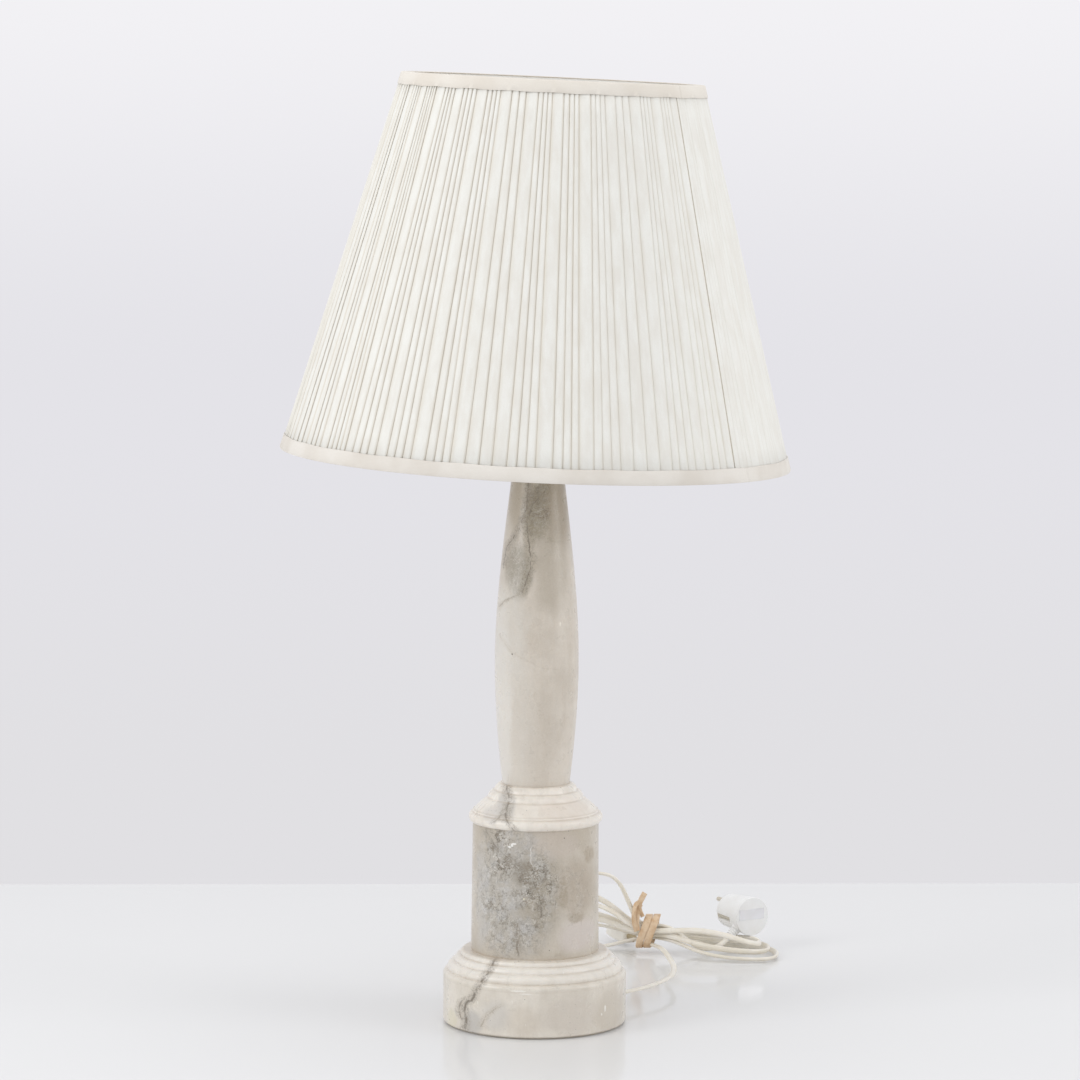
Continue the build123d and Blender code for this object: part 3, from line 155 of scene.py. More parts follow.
def hank_route():
    far_end = SWITCH_NEAR_END + SWITCH_DIRECTION * SWITCH_LENGTH
    route = [far_end, far_end + SWITCH_DIRECTION * SWITCH_TAIL_RUN] + SWITCH_TAIL_ROUTE
    route.append((WAIST.x - LOBE_KNEE, WAIST.y + 1.5 * LEFT_PLANE_PITCH, FIRST_LEFT_KNEE_LEVEL))
    half = WAIST_HALF_LENGTH
    for loop in range(3):
        route += [slot_in_tie(loop, 1, -half), slot_in_tie(loop, 1, half)] + right_lobe(loop)
        route += [slot_in_tie(loop + 1, -1, half), slot_in_tie(loop + 1, -1, -half)] + left_lobe(loop + 1)
    route += HIGH_LOOP_FALL + [slot_in_tie(3, 1, -half), slot_in_tie(3, 1, half)] + PLUG_STRAND_ROUTE
    tip, direction = plug_relief_tip()
    return route + [tip + direction * PLUG_APPROACH, tip]


# ---- making meshes -------------------------------------------------


def smooth_line(name, route):
    """The smooth line that a flex takes along its route, as points in metres."""
    curve = bpy.data.curves.new(name, "CURVE")
    curve.dimensions = "3D"
    curve.resolution_u = ROUTE_STEPS
    spline = curve.splines.new("NURBS")
    spline.points.add(len(route) - 1)
    for knot, place in zip(spline.points, route):
        knot.co = (*point_mm(*place), 1)
    spline.order_u = ROUTE_ORDER
    spline.use_endpoint_u = True
    carrier = bpy.data.objects.new(name, curve)
    mesh = bpy.data.meshes.new_from_object(carrier)
    line = [v.co.copy() for v in mesh.vertices]
    bpy.data.meshes.remove(mesh)
    bpy.data.objects.remove(carrier)
    bpy.data.curves.remove(curve)
    return line


def mesh_piece(name, points, faces, smooth_angle):
    mesh = bpy.data.meshes.new(name)
    mesh.from_pydata([tuple(p) for p in points], [], faces)
    mesh.update()
    piece = bpy.data.objects.new(name, mesh)
    scene.collection.objects.link(piece)
    bpy.ops.object.select_all(action="DESELECT")
    piece.select_set(True)
    bpy.context.view_layer.objects.active = piece
    bpy.ops.object.shade_smooth_by_angle(angle=math.radians(smooth_angle))
    return piece


def ring_faces(rings, total):
    """Faces between closed rings of this many points."""
    faces = []
    for i in range(rings - 1):
        for j in range(total):
            k = (j + 1) % total
            faces.append((i * total + j, i * total + k, (i + 1) * total + k, (i + 1) * total + j))
    return faces


def swept(name, line, section, roll=None):
    """A closed section carried along a line, level at its start; roll turns it by its share of the way."""
    rings, total = len(line), len(section)
    tangents = [(line[min(i + 1, rings - 1)] - line[max(i - 1, 0)]).normalized() for i in range(rings)]
    across = UP.cross(line[1] - line[0])
    points = []
    for i, place in enumerate(line):
        if i:
            across = tangents[i - 1].rotation_difference(tangents[i]) @ across
        across = (across - tangents[i] * across.dot(tangents[i])).normalized()
        x = Matrix.Rotation(roll(i / (rings - 1)) if roll else 0.0, 3, tangents[i]) @ across
        y = tangents[i].cross(x)
        points += [place + x * u + y * v for u, v in section]
    ends = [tuple(reversed(range(total))), tuple(range((rings - 1) * total, rings * total))]
    faces = ring_faces(rings, total) + ends
    return mesh_piece(name, points, faces, smooth_angle=60)


def flex_section():
    """Oval of the two-core flex, with a shallow crease along the middle of each flat."""
    section = []
    for k in range(FLEX_SIDES):
        angle = 2 * math.pi * k / FLEX_SIDES
        crease = 1 - FLEX_CREASE * math.exp(-(math.cos(angle) / FLEX_CREASE_REACH) ** 2)
        section.append((FLEX_WIDTH / 2 * math.cos(angle), FLEX_THICKNESS / 2 * math.sin(angle) * crease))
    return section


# ---- free flex -----------------------------------------------------


ROLL_SWING, ROLL_WAVES, ROLL_TWIST = 0.5, 40, 3         # angles in radians


def hank_roll(share):
    """The hank's flex lies flat in some places and on its edge in others, as it was wound."""
    return ROLL_SWING * math.sin(share * ROLL_WAVES) + share * ROLL_TWIST


lead_line = smooth_line("lead_line", lead_route())
hank_line = smooth_line("hank_line", hank_route())
flex_lead = swept("flex_lead", lead_line, flex_section())
flex_hank = swept("flex_hank", hank_line, flex_section(), hank_roll)


# ---- node helper and colours ---------------------------------------


def colour(code):
    """sRGB hex to the linear colour that a shader takes."""
    channels = [int(code[i:i + 2], 16) / 255 for i in (1, 3, 5)]
    return tuple(c / 12.92 if c <= 0.04045 else ((c + 0.055) / 1.055) ** 2.4 for c in channels) + (1.0,)


def add(tree, kind, inputs=None, **settings):
    """Adds a node with its settings and links; an input is a value, an output, or a node for its first output."""
    made = tree.nodes.new("ShaderNode" + kind)
    for name, value in settings.items():
        setattr(made, name, value)
    for name, value in (inputs or {}).items():
        if isinstance(value, bpy.types.Node):
            value = value.outputs[0]
        if isinstance(value, bpy.types.NodeSocket):
            tree.links.new(value, made.inputs[name])
        else:
            made.inputs[name].default_value = value
    return made


def new_material(name):
    """An empty material and its tree."""
    material = bpy.data.materials.new(name)
    material.use_nodes = True
    material.node_tree.nodes.clear()
    return material, material.node_tree


def finished(material, inputs):
    """The material, closed with a shader that takes these inputs."""
    tree = material.node_tree
    add(tree, "OutputMaterial", {"Surface": add(tree, "BsdfPrincipled", inputs)})
    return material


def in_mm(tree):
    """Object coordinates in millimetres."""
    where = add(tree, "TexCoord").outputs["Object"]
    return add(tree, "VectorMath", {0: where, 1: (1000, 1000, 1000)}, operation="MULTIPLY")


def patches(tree, where, size, none, full, most=1.0, least=0.0, detail=3.0, rough=0.55):
    """Patches about size millimetres across: least where a noise is under none, most where it is over full."""
    wave = add(tree, "TexNoise", {"Vector": where, "Scale": 1 / size, "Detail": detail, "Roughness": rough})
    limits = {0: wave, 1: none, 2: full, 3: least, 4: most}
    return add(tree, "MapRange", limits, interpolation_type="SMOOTHSTEP")


def near_to(tree, value, level, reach, core=0.0):
    """1 where a value is within core of a level, falling to 0 at reach."""
    apart = add(tree, "Math", {0: value, 1: level}, operation="SUBTRACT")
    apart = add(tree, "Math", {0: apart}, operation="ABSOLUTE")
    return add(tree, "MapRange", {0: apart, 1: reach, 2: core}, interpolation_type="SMOOTHSTEP")


def overlap(tree, *masks):
    """How far all the masks overlap: their product."""
    product = masks[0]
    for mask in masks[1:]:
        product = add(tree, "Math", {0: product, 1: mask}, operation="MULTIPLY")
    return product


def lay(tree, base, tone, *masks):
    """Lays a tone over the base, as far as the masks' product says."""
    mixed = add(tree, "Mix", {0: overlap(tree, *masks), 6: base, 7: colour(tone)}, data_type="RGBA")
    return mixed.outputs[2]


def grained(tree, where, size, detail, strength, depth):
    """The shader's normal on a surface raised by a fine noise; depth is in metres."""
    wave = add(tree, "TexNoise", {"Vector": where, "Scale": 1 / size, "Detail": detail, "Roughness": 0.55})
    return add(tree, "Bump", {"Height": wave, "Strength": strength, "Distance": depth})


def dress(piece, material):
    """Gives a new piece its finish."""
    piece.data.materials.clear()
    piece.data.materials.append(material)


def dress_node(node, material):
    """Gives a carried-over piece its finish."""
    held = nodes[node]
    if not held.material_slots:
        held.data.materials.append(None)
    for place in held.material_slots:
        place.material = material


# ---- alabaster -----------------------------------------------------


def warped(tree, where, size, reach):
    """Coordinates stirred by noise, so that a straight vein wanders."""
    stir = add(tree, "TexNoise", {"Vector": where, "Scale": 1 / size, "Detail": 4.0, "Roughness": 0.55})
    centred = add(tree, "VectorMath", {0: stir.outputs["Color"], 1: (0.5, 0.5, 0.5)}, operation="SUBTRACT")
    scaled = add(tree, "VectorMath", {0: centred, 1: (reach, reach, reach)}, operation="MULTIPLY")
    return add(tree, "VectorMath", {0: where, 1: scaled}, operation="ADD")


def vein_middle(tree, where, path):
    """How far to the right a vein runs at each height; its path is places of (height, x), in millimetres."""
    ordered = sorted(path)
    low, high = ordered[0][0], ordered[-1][0]
    left, right = min(x for _, x in path), max(x for _, x in path)
    height = add(tree, "SeparateXYZ", {0: where}).outputs["Z"]
    share = add(tree, "MapRange", {0: height, 1: low, 2: high})
    bend = add(tree, "FloatCurve", {"Value": share})
    curve = bend.mapping.curves[0]
    for i, (z, x) in enumerate(ordered):
        spot = ((z - low) / (high - low), (x - left) / (right - left))
        if i in (0, len(ordered) - 1):
            curve.points[0 if i == 0 else -1].location = spot
        else:
            curve.points.new(*spot)
    bend.mapping.update()
    return add(tree, "MapRange", {0: bend, 1: 0, 2: 1, 3: left, 4: right})


def vein_window(tree, where, low, high):
    """1 on the front of the stone between two heights, fading at both and round the sides."""
    place = add(tree, "SeparateXYZ", {0: where})
    fades = (("Z", low - 4, low + 4), ("Z", high + 4, high - 4), ("Y", 5, -20))
    return overlap(tree, *(
        add(tree, "MapRange", {0: place.outputs[axis], 1: none, 2: full}, interpolation_type="SMOOTHSTEP")
        for axis, none, full in fades
    ))


def threads(tree, where, size, width):
    """Thin wandering lines, about size apart and width wide, where a noise passes its middle."""
    wave = add(tree, "TexNoise", {"Vector": where, "Scale": 1 / size, "Detail": 4.0, "Roughness": 0.6})
    return near_to(tree, wave, 0.5, 0.3 * width / size)


def vein(tree, where, path, width, halo):
    """Three masks of one vein: its dark line, the cracks that run beside it, and the stained stone."""
    heights = [z for z, _ in path]
    across = add(tree, "SeparateXYZ", {0: where}).outputs["X"]
    middle = vein_middle(tree, where, path)
    window = vein_window(tree, where, min(heights), max(heights))
    broken = patches(tree, where, 7.0, 0.38, 0.55)
    line = overlap(tree, near_to(tree, across, middle, width, width * 0.2), broken, window)
    near = overlap(tree, near_to(tree, across, middle, halo, halo * 0.25), window)
    return line, overlap(tree, threads(tree, where, 5.0, 0.7), near), near


def blotch(tree, where, middle, reach, edge=0.55):
    """A soft egg-shaped region, 1 inside."""
    away = add(tree, "VectorMath", {0: where, 1: middle}, operation="SUBTRACT")
    share = add(tree, "VectorMath", {0: away, 1: reach}, operation="DIVIDE")
    length = add(tree, "VectorMath", {0: share}, operation="LENGTH").outputs["Value"]
    return add(tree, "MapRange", {0: length, 1: 1.15, 2: edge}, interpolation_type="SMOOTHSTEP")


def painted_groove_shade(tree, where, base, groove_shades):
    """Painted shade in the turned grooves, with a little old polish and dust: brown rings, each with its height,
    reach and strength.
    """
    height = add(tree, "SeparateXYZ", {0: where}).outputs["Z"]
    patchy = patches(tree, where, 30.0, 0.3, 0.65, least=0.35)
    for level, reach, strength in groove_shades:
        base = lay(tree, base, "#b9a892", near_to(tree, height, level, reach), patchy, strength * 0.5)
    return base


def breccia(tree, where, base, regions):
    """Broken stone healed with crystal: grey-blue crystals, pale grain lines, brown-grey cracks."""
    for middle, reach, strength, dark, crystal_tone in regions:
        broken = patches(tree, where, 16.0, 0.3, 0.5, detail=4.0)
        region = overlap(tree, blotch(tree, where, middle, reach), broken, strength)
        base = lay(tree, base, crystal_tone, region, patches(tree, where, 11.0, 0.47, 0.6), 0.6)
        shade = patches(tree, where, 8.0, 0.5, 0.64, detail=5.0, rough=0.7)
        base = lay(tree, base, "#877e70", region, shade, 0.65 * dark)
        for size, width, tone, share in (
            (3.2, 0.5, "#d8d4cc", 0.55), (6.5, 0.6, "#dedad3", 0.6),
            (4.6, 0.7, "#867c6e", 0.6 * dark), (9.0, 1.0, "#6f6657", 0.75 * dark),
        ):
            patchy = patches(tree, where, size * 2.6, 0.42, 0.58, detail=2.0)
            base = lay(tree, base, tone, threads(tree, where, size, width), patchy, region, share)
    return base


def alabaster(name, pale, deep, veins, blotches, regions=(), marks=(), groove_shades=(), chips=0.5):
    """Alabaster, turned and polished to a satin: milky and slightly see-through, with cloudy
    patches, brown-grey veins where clay runs through it, and small pits and scratches.
    Places and reaches are in millimetres, as the stone stands."""
    material, tree = new_material(name)
    where = in_mm(tree)
    wandering = warped(tree, where, 30.0, 14.0)
    fine = warped(tree, warped(tree, where, 11.0, 5.0), 3.0, 1.6)
    clouds = patches(tree, wandering, 60.0, 0.36, 0.64, detail=5.0, rough=0.6)
    base = lay(tree, colour(pale), deep, clouds)
    # faint mottling and upright streaks, as between the grains of the stone
    base = lay(tree, base, "#a79d90", patches(tree, fine, 7.0, 0.42, 0.7, 0.09, detail=4.0, rough=0.6))
    upright = add(tree, "Mapping", {"Vector": wandering, "Scale": (1, 1, 0.12)})
    base = lay(tree, base, "#b3a694", patches(tree, upright, 9.0, 0.4, 0.7, 0.16))
    for middle, reach, tone, strength in blotches:
        base = lay(tree, base, tone, blotch(tree, wandering, middle, reach), strength)
    base = breccia(tree, fine, base, regions)
    for path, width, halo, line_tone, stain_tone, strength in veins:
        line, cracks, near = vein(tree, fine, path, width, halo)
        base = lay(tree, base, stain_tone, near, strength * 0.5)
        base = lay(tree, base, line_tone, cracks, strength * 0.75)
        base = lay(tree, base, line_tone, line, strength)
    # fine grain of the stone
    grain = add(tree, "TexNoise", {"Vector": where, "Scale": 1 / 1.6, "Detail": 4.0, "Roughness": 0.7})
    bloom = add(tree, "MapRange", {0: grain, 1: 0.35, 2: 0.75, 4: 0.10}, interpolation_type="SMOOTHSTEP")
    base = lay(tree, base, "#fffdf8", bloom)
    # brown rings of painted shade in the grooves and where the parts meet
    base = painted_groove_shade(tree, where, base, groove_shades)
    # short pale scratches and pits where the polish is lost
    slanted = add(tree, "Mapping", {"Vector": where, "Rotation": (0.3, 0.5, 0.2), "Scale": (1, 1, 0.22)})
    rare = patches(tree, where, 21.0, 0.52, 0.6, detail=2.0)
    scratch = overlap(tree, patches(tree, slanted, 1.9, 0.74, 0.78, detail=1.0), rare, chips)
    base = lay(tree, base, "#f7f4ee", scratch)
    pit = overlap(tree, patches(tree, where, 2.6, 0.80, 0.83, detail=0.5), chips)
    base = lay(tree, base, "#6f675c", pit)
    worn = warped(tree, where, 2.0, 1.4)
    for middle, reach, tone in marks:
        base = lay(tree, base, tone, blotch(tree, worn, middle, reach, 0.8), 0.85)
    height = add(tree, "Math", {0: grain, 1: 0.12}, operation="MULTIPLY")
    sunk = add(tree, "Math", {0: pit, 1: scratch}, operation="ADD")
    height = add(tree, "Math", {0: height, 1: sunk}, operation="SUBTRACT")
    return finished(material, {
        "Base Color": base, "Roughness": patches(tree, where, 12.0, 0.3, 0.7, 0.4, 0.26), "IOR": 1.52,
        "Normal": add(tree, "Bump", {"Height": height, "Strength": 0.25, "Distance": 0.0006}),
        "Subsurface Weight": 0.12, "Subsurface Radius": (0.006, 0.005, 0.004), "Subsurface Scale": 0.6,
        "Coat Weight": 0.15, "Coat Roughness": 0.18, "Sheen Weight": 0.25, "Sheen Roughness": 0.3,
    })


# Veins: path, half width, reach of the stain, line tone, stain tone, strength. Blotches: middle, reach, tone,
# strength. Regions of broken stone: middle, reach, strength, share of dark cracks, crystal tone.
# Marks: middle, reach, tone. Groove shades, brown rings of painted shade: height, reach, strength.


def alabaster_foot():
    veins = [
        ([(74, -38), (59, -47.6), (46, -56.3), (36, -61), (26, -68), (12, -67), (1, -70)],
         1.9, 7.0, "#776d5f", "#ada497", 0.9),
        ([(34, -32), (20, -47), (9, -53)], 0.9, 6.0, "#a0937e", "#c3b9a8", 0.6),
        ([(38, -62), (31, -71), (22, -74), (12, -71)], 1.2, 6.0, "#82786b", "#b2a89b", 0.7),
    ]
    blotches = [
        ((-82, -34, 8), (6, 30, 13), "#dbd4ba", 0.6),
        ((-60, -64, 12), (12, 24, 14), "#c0bcb6", 0.8),
        ((-38, -78, 22), (18, 24, 18), "#cdc8c1", 0.6),
        ((-10, -82, 18), (20, 24, 20), "#c9bcaa", 0.35),
        ((36, -80, 22), (34, 30, 20), "#cfc5b9", 0.5),
        ((74, -50, 20), (22, 40, 26), "#cbc1b2", 0.6),
        # the next blotch lightens the whole moulded top of the foot, where light falls on it from above: painted
        # light
        ((0, 0, 62), (110, 110, 15), "#f4f0e9", 0.6),
    ]
    marks = [
        ((-15, -85, 48.2), (9, 9, 0.9), "#f6f2ea"), ((-8, -87, 45.6), (7, 9, 0.7), "#f3eee6"),
        ((83.6, -29, 30.2), (1.4, 3, 1.3), "#4f4840"), ((69.4, -55, 25), (0.8, 6, 4.2), "#f7f4ee"),
        ((66, -58, 20), (0.6, 6, 2.0), "#f7f4ee"),
    ]
    groove_shades = [
        (68.3, 1.3, 0.6), (62.0, 1.5, 0.5), (53.3, 1.5, 0.5), (46.6, 1.0, 0.25), (73.0, 1.4, 0.8), (2.2, 1.6, 0.55),
    ]
    return alabaster(
        "alabaster_foot_polished", "#e8e1d5", "#dbd3c6", veins, blotches, marks=marks, groove_shades=groove_shades, chips=0.8,
    )


def alabaster_drum():
    veins = [
        ([(204, -49), (197, -46.7), (184, -38.7), (174, -27), (166, -20), (161, -12), (155, -2)],
         1.3, 12.0, "#7b7264", "#8f8576", 0.5),
        ([(153, -2), (135, 3.8), (123, 5.9), (115, 0)], 1.1, 9.0, "#6f6657", "#938978", 0.7),
        ([(110, -16), (93, -17.4), (77, -16.4)], 1.2, 6.0, "#7d7262", "#a09584", 0.65),
        ([(185, -3), (180, -4.3), (167, -2.3)], 0.5, 1.2, "#dedbd5", "#cfcbc4", 0.7),
    ]
    blotches = [
        ((-20, -50, 140), (46, 50, 74), "#b5afa5", 0.85),
        ((6, -62, 140), (26, 30, 46), "#a89d8b", 0.7),
        ((-6, -62, 158), (18, 26, 16), "#857b6b", 0.7),
        ((40, -48, 142), (22, 36, 34), "#b1a391", 0.6),
        ((20, -60, 188), (30, 30, 16), "#c9bdb0", 0.6),
        ((44, -46, 96), (26, 40, 20), "#d2c8c0", 0.8),
        ((53, -34, 174), (5, 20, 10), "#a3937b", 0.6),
        ((28, -56, 138), (5, 18, 17), "#a3947d", 0.5),
        ((39, -49, 114), (11, 20, 5), "#9f9079", 0.55),
        # the next blotch is a lighter streak down the drum's left edge: painted reflection of the pale room
        ((-52, -34, 130), (7, 30, 60), "#c2beb8", 0.6),
    ]
    regions = [
        ((-22, -50, 140), (46, 60, 76), 1.0, 0.9, "#bcbab8"), ((2, -62, 142), (22, 40, 34), 1.0, 1.5, "#b3ada2"),
        ((-32, -50, 180), (20, 40, 26), 1.0, 1.6, "#bdb9b3"), ((-14, -60, 160), (16, 40, 18), 1.0, 1.6, "#b0a99c"),
        ((34, -54, 140), (24, 40, 36), 0.45, 0.6, "#c0b7ab"),
    ]
    marks = [
        ((-21, -58.7, 188.2), (2.4, 7, 1.0), "#f8f7f3"), ((-23, -58.4, 186.6), (1.2, 7, 1.6), "#f8f7f3"),
        ((-25.5, -57.8, 184.8), (1.8, 7, 0.9), "#f8f7f3"), ((-11, -61.5, 134), (0.9, 5, 0.9), "#efe9cf"),
    ]
    groove_shades = [(73.4, 1.8, 0.9), (201.0, 1.4, 0.35)]
    return alabaster(
        "alabaster_drum_brecciated", "#d0c7b9", "#bdb2a1", veins, blotches, regions, marks, groove_shades, chips=0.9,
    )


def alabaster_cap():
    veins = [
        ([(250, -27), (239, -28.3), (229, -26.2), (215, -29), (205.7, -23), (200, -20)],
         1.3, 8.0, "#7c7264", "#b5ac9f", 0.8),
        ([(222, -29), (217.6, -32), (207, -42.8)], 1.0, 5.0, "#8b8172", "#bdb5ab", 0.7),
    ]
    blotches = [
        ((-30, -46, 226), (12, 30, 20), "#ccc8c2", 0.8), ((-44, -40, 214), (10, 26, 8), "#d3cfca", 0.6),
        ((30, -46, 220), (30, 40, 14), "#e6dace", 0.5),
    ]
    groove_shades = [
        (201.2, 1.2, 0.5), (211.4, 1.2, 0.8), (213.9, 1.0, 0.55), (225.3, 1.3, 0.7), (233.2, 1.2, 0.65),
        (239.9, 1.2, 0.8),
    ]
    return alabaster("alabaster_cap_polished", "#f5efe5", "#ece4d9", veins, blotches, groove_shades=groove_shades)


def alabaster_column():
    veins = [
        ([(560, -9), (538, -9.7), (518, -10.6), (502, -15.3), (486, -23), (472, -30.8), (455, -33)],
         0.9, 6.0, "#7a6f60", "#9a8f80", 0.8),
        ([(560, 18), (536, 8.8), (524, 0), (514, -6.6), (499, -9.4), (479, -8.3), (462, -6.3), (450, -9), (430, -16)],
         0.9, 8.0, "#7a6f60", "#a0957f", 0.8),
        ([(500, -6), (487, 8), (482, 20)], 0.8, 9.0, "#97896f", "#aa9f8b", 0.5),
        ([(432, -12), (428, -24), (415, -38)], 0.8, 4.0, "#978b79", "#b1a797", 0.7),
        ([(391, -38), (369, -16), (356, 23)], 0.7, 5.0, "#b7ac9b", "#c6bcae", 0.35),
    ]
    blotches = [
        # the next blotch, and in part the browner ones after it, darken the column's top under the shade: painted
        # shadow, along with the stone's own browner tone there
        ((0, -30, 560), (60, 60, 80), "#b5a997", 0.8),
        ((-2, -36, 512), (14, 30, 30), "#91866f", 0.7),
        ((6, -38, 524), (12, 30, 26), "#8d816c", 0.6),
        ((24, -30, 520), (22, 40, 50), "#a59782", 0.7),
        ((-20, -20, 530), (14, 30, 40), "#b3a691", 0.6),
        # the next blotch is a light streak down the column's left edge: painted reflection of the pale room
        ((-34, -20, 300), (12, 40, 130), "#e8e5df", 0.7),
        ((14, -36, 456), (20, 36, 50), "#b5aa98", 0.6),
        ((-20, -34, 456), (15, 26, 33), "#a69d8d", 0.95),
        # the next two lighten the column's left side: painted reflection along that edge
        ((-30, -24, 392), (26, 36, 60), "#d6d2ca", 0.5),
        ((-24, -24, 300), (30, 40, 90), "#dcd6cc", 0.5),
    ]
    regions = [
        ((-20, -34, 456), (15, 30, 34), 0.8, 0.3, "#bab4a8"), ((-2, -36, 512), (18, 30, 36), 0.8, 1.1, "#a39985"),
    ]
    marks = [((22.8, -35, 402), (0.9, 4, 2.6), "#efe9dd"), ((-24, -33, 372), (0.8, 4, 0.8), "#6b6257")]
    return alabaster(
        "alabaster_column_polished", "#dbd2c5", "#cfc5b7", veins, blotches, regions, marks, chips=0.12,
    )


# ---- other finishes ------------------------------------------------


def plain(name, tone, rough, metal=0.0, grain=0.0, grain_size=0.4):
    """A moulded, plated or painted surface with a trace of its making in the gloss."""
    material, tree = new_material(name)
    where = in_mm(tree)
    inputs = {
        "Base Color": lay(tree, colour(tone), "#b9ab98", patches(tree, where, 18.0, 0.3, 0.7, 0.12)),
        "Metallic": metal,
        "Roughness": patches(tree, where, grain_size, 0.25, 0.75, rough * 1.15, rough * 0.85, detail=2.0),
    }
    if grain:
        inputs["Normal"] = grained(tree, where, grain_size, 2.0, grain, 0.0002)
    return finished(material, inputs)


def pleated_cloth():
    """Off-white polyester batiste, pleated and glued: plain weave, threads at 3 to the millimetre,
    drawn coarser here so that they show, and a soft sheen along the pleats."""
    material, tree = new_material("polyester_batiste_pleated")
    where = in_mm(tree)
    along_threads = add(tree, "Mapping", {"Vector": where, "Scale": (1, 1, 0.12)})
    along_pleats = add(tree, "Mapping", {"Vector": where, "Scale": (1, 1, 0.1)})
    base = lay(tree, colour("#f0efe9"), "#e9e6de", patches(tree, along_pleats, 9.0, 0.3, 0.7))
    base = lay(tree, base, "#e3dfd5", patches(tree, along_threads, 0.5, 0.35, 0.7, 0.25, detail=2.0))
    # painted shade along the folds, where the crease attribute is set, with a little yellowing of the glued cloth
    base = lay(tree, base, "#d6ccb9", add(tree, "Attribute", attribute_name="crease").outputs["Fac"], 0.62)
    return finished(material, {
        "Base Color": base, "Roughness": 0.8, "Normal": grained(tree, along_threads, 0.5, 2.0, 0.15, 0.0003),
        "Sheen Weight": 0.15, "Sheen Roughness": 0.5,
    })


def trim_tape(name, pale, deep):
    """Cotton tape, woven 12 mm wide and glued over a rim; its threads run round the shade."""
    material, tree = new_material(name)
    where = in_mm(tree)
    along_threads = add(tree, "Mapping", {"Vector": where, "Scale": (0.4, 0.4, 1.6)})
    base = lay(tree, colour(pale), deep, patches(tree, where, 55.0, 0.35, 0.65))
    base = lay(tree, base, "#dcd4c8", patches(tree, along_threads, 0.6, 0.3, 0.7, 0.3, detail=2.0))
    return finished(material, {
        "Base Color": base, "Roughness": 0.75, "Normal": grained(tree, along_threads, 0.6, 2.0, 0.2, 0.0003),
        "Sheen Weight": 0.1, "Sheen Roughness": 0.5,
    })


def flex_sheath():
    """Cream PVC sheath, extruded: soft satin, yellowed a little, smudged where it was handled."""
    material, tree = new_material("pvc_sheath_extruded")
    where = in_mm(tree)
    base = lay(tree, colour("#f1ece2"), "#e6dfd0", patches(tree, where, 30.0, 0.35, 0.65))
    base = lay(tree, base, "#c9bfab", patches(tree, where, 6.0, 0.6, 0.75, 0.3, detail=4.0))
    return finished(material, {
        "Base Color": base, "Roughness": 0.38, "Subsurface Weight": 0.1,
        "Subsurface Radius": (0.002, 0.0018, 0.0014), "Subsurface Scale": 0.5,
    })


def tie_strip():
    """Tan vegetable-tanned leather lace, cut flat: fine pores and darker specks."""
    material, tree = new_material("leather_lace_tan")
    where = in_mm(tree)
    base = lay(tree, colour("#e0c7a9"), "#cfae89", patches(tree, where, 8.0, 0.35, 0.65))
    base = lay(tree, base, "#b08c66", patches(tree, where, 0.7, 0.55, 0.75, 0.4))
    return finished(material, {
        "Base Color": base, "Roughness": 0.6, "Normal": grained(tree, where, 0.7, 3.0, 0.3, 0.0003),
    })


def frosted_glass():
    """Bulb glass, frosted inside: milky, with a smooth outer gloss."""
    material, tree = new_material("frosted_bulb_glass")
    haze = patches(tree, in_mm(tree), 20.0, 0.3, 0.7, detail=2.0)
    return finished(material, {
        "Base Color": lay(tree, colour("#f6f5f1"), "#eeece6", haze), "Roughness": 0.22, "IOR": 1.5,
        "Transmission Weight": 0.25, "Subsurface Weight": 0.3, "Subsurface Radius": (0.01, 0.01, 0.01),
        "Subsurface Scale": 0.5,
    })


finishes = [
    (alabaster_foot(), ["foot"]),
    (alabaster_drum(), ["drum"]),
    (alabaster_cap(), ["cap_moulding"]),
    (alabaster_column(), ["column"]),
    (plain("brass_turned_lacquered", "#c9a25a", 0.3, metal=1.0, grain=0.05), [
        "neck_nut", "neck_cap", "harp_saddle", "lampholder_contacts", "harp_wire", "harp_stud",
        "harp_ferrule_left", "harp_ferrule_right", "shade_washer", "shade_nut",
    ]),
    (plain("steel_zinc_plated", "#b9b9b6", 0.35, metal=1.0, grain=0.05), [
        "threaded_rod", "bottom_washer", "bottom_nut", "switch_screws",
    ]),
    (plain("wire_powder_coated", "#efede8", 0.45, grain=0.1, grain_size=0.6), [
        "shade_spider", "shade_bottom_ring",
    ]),
    (plain("styrene_lining_sheet", "#f4f1ea", 0.4), ["shade_lining"]),
    (plain("bakelite_cream_moulded", "#e9e4da", 0.3, grain=0.05), ["lampholder_base", "lampholder_shell"]),
    (plain("abs_cream_moulded", "#f6f2e9", 0.32, grain=0.05), ["switch_base", "switch_cover", "switch_rocker"]),
    (plain("rubber_relief_moulded", "#cbbd9f", 0.5, grain=0.1), ["switch_reliefs"]),
    (plain("urea_white_moulded", "#f1f1f0", 0.28, grain=0.03), ["plug_body", "plug_relief"]),
    (plain("felt_cream_pressed", "#ddd5c6", 0.95, grain=0.6, grain_size=1.2), ["base_felt"]),
    (plain("nylon_bush_moulded", "#e4dfd2", 0.4), ["cord_bush"]),
    (plain("porcelain_glazed", "#f3f1ea", 0.15), ["lampholder_insert"]),
    (plain("aluminium_cap_pressed", "#c8c8c8", 0.3, metal=1.0), ["bulb_cap"]),
    (plain("brass_nickel_plated", "#d6cfbf", 0.25, metal=1.0), ["plug_pins", "plug_earth_clips"]),
    (plain("foil_silver_blank", "#d2d2d4", 0.34, metal=1.0), ["plug_foil"]),
    (frosted_glass(), ["bulb_glass"]),
]
for material, names in finishes:
    for name in names:
        dress_node(name, material)
sheath = flex_sheath()
dress_node("inner_cord", sheath)
for piece in (flex_lead, flex_hank):
    dress(piece, sheath)

# ---- pleated cover -------------------------------------------------

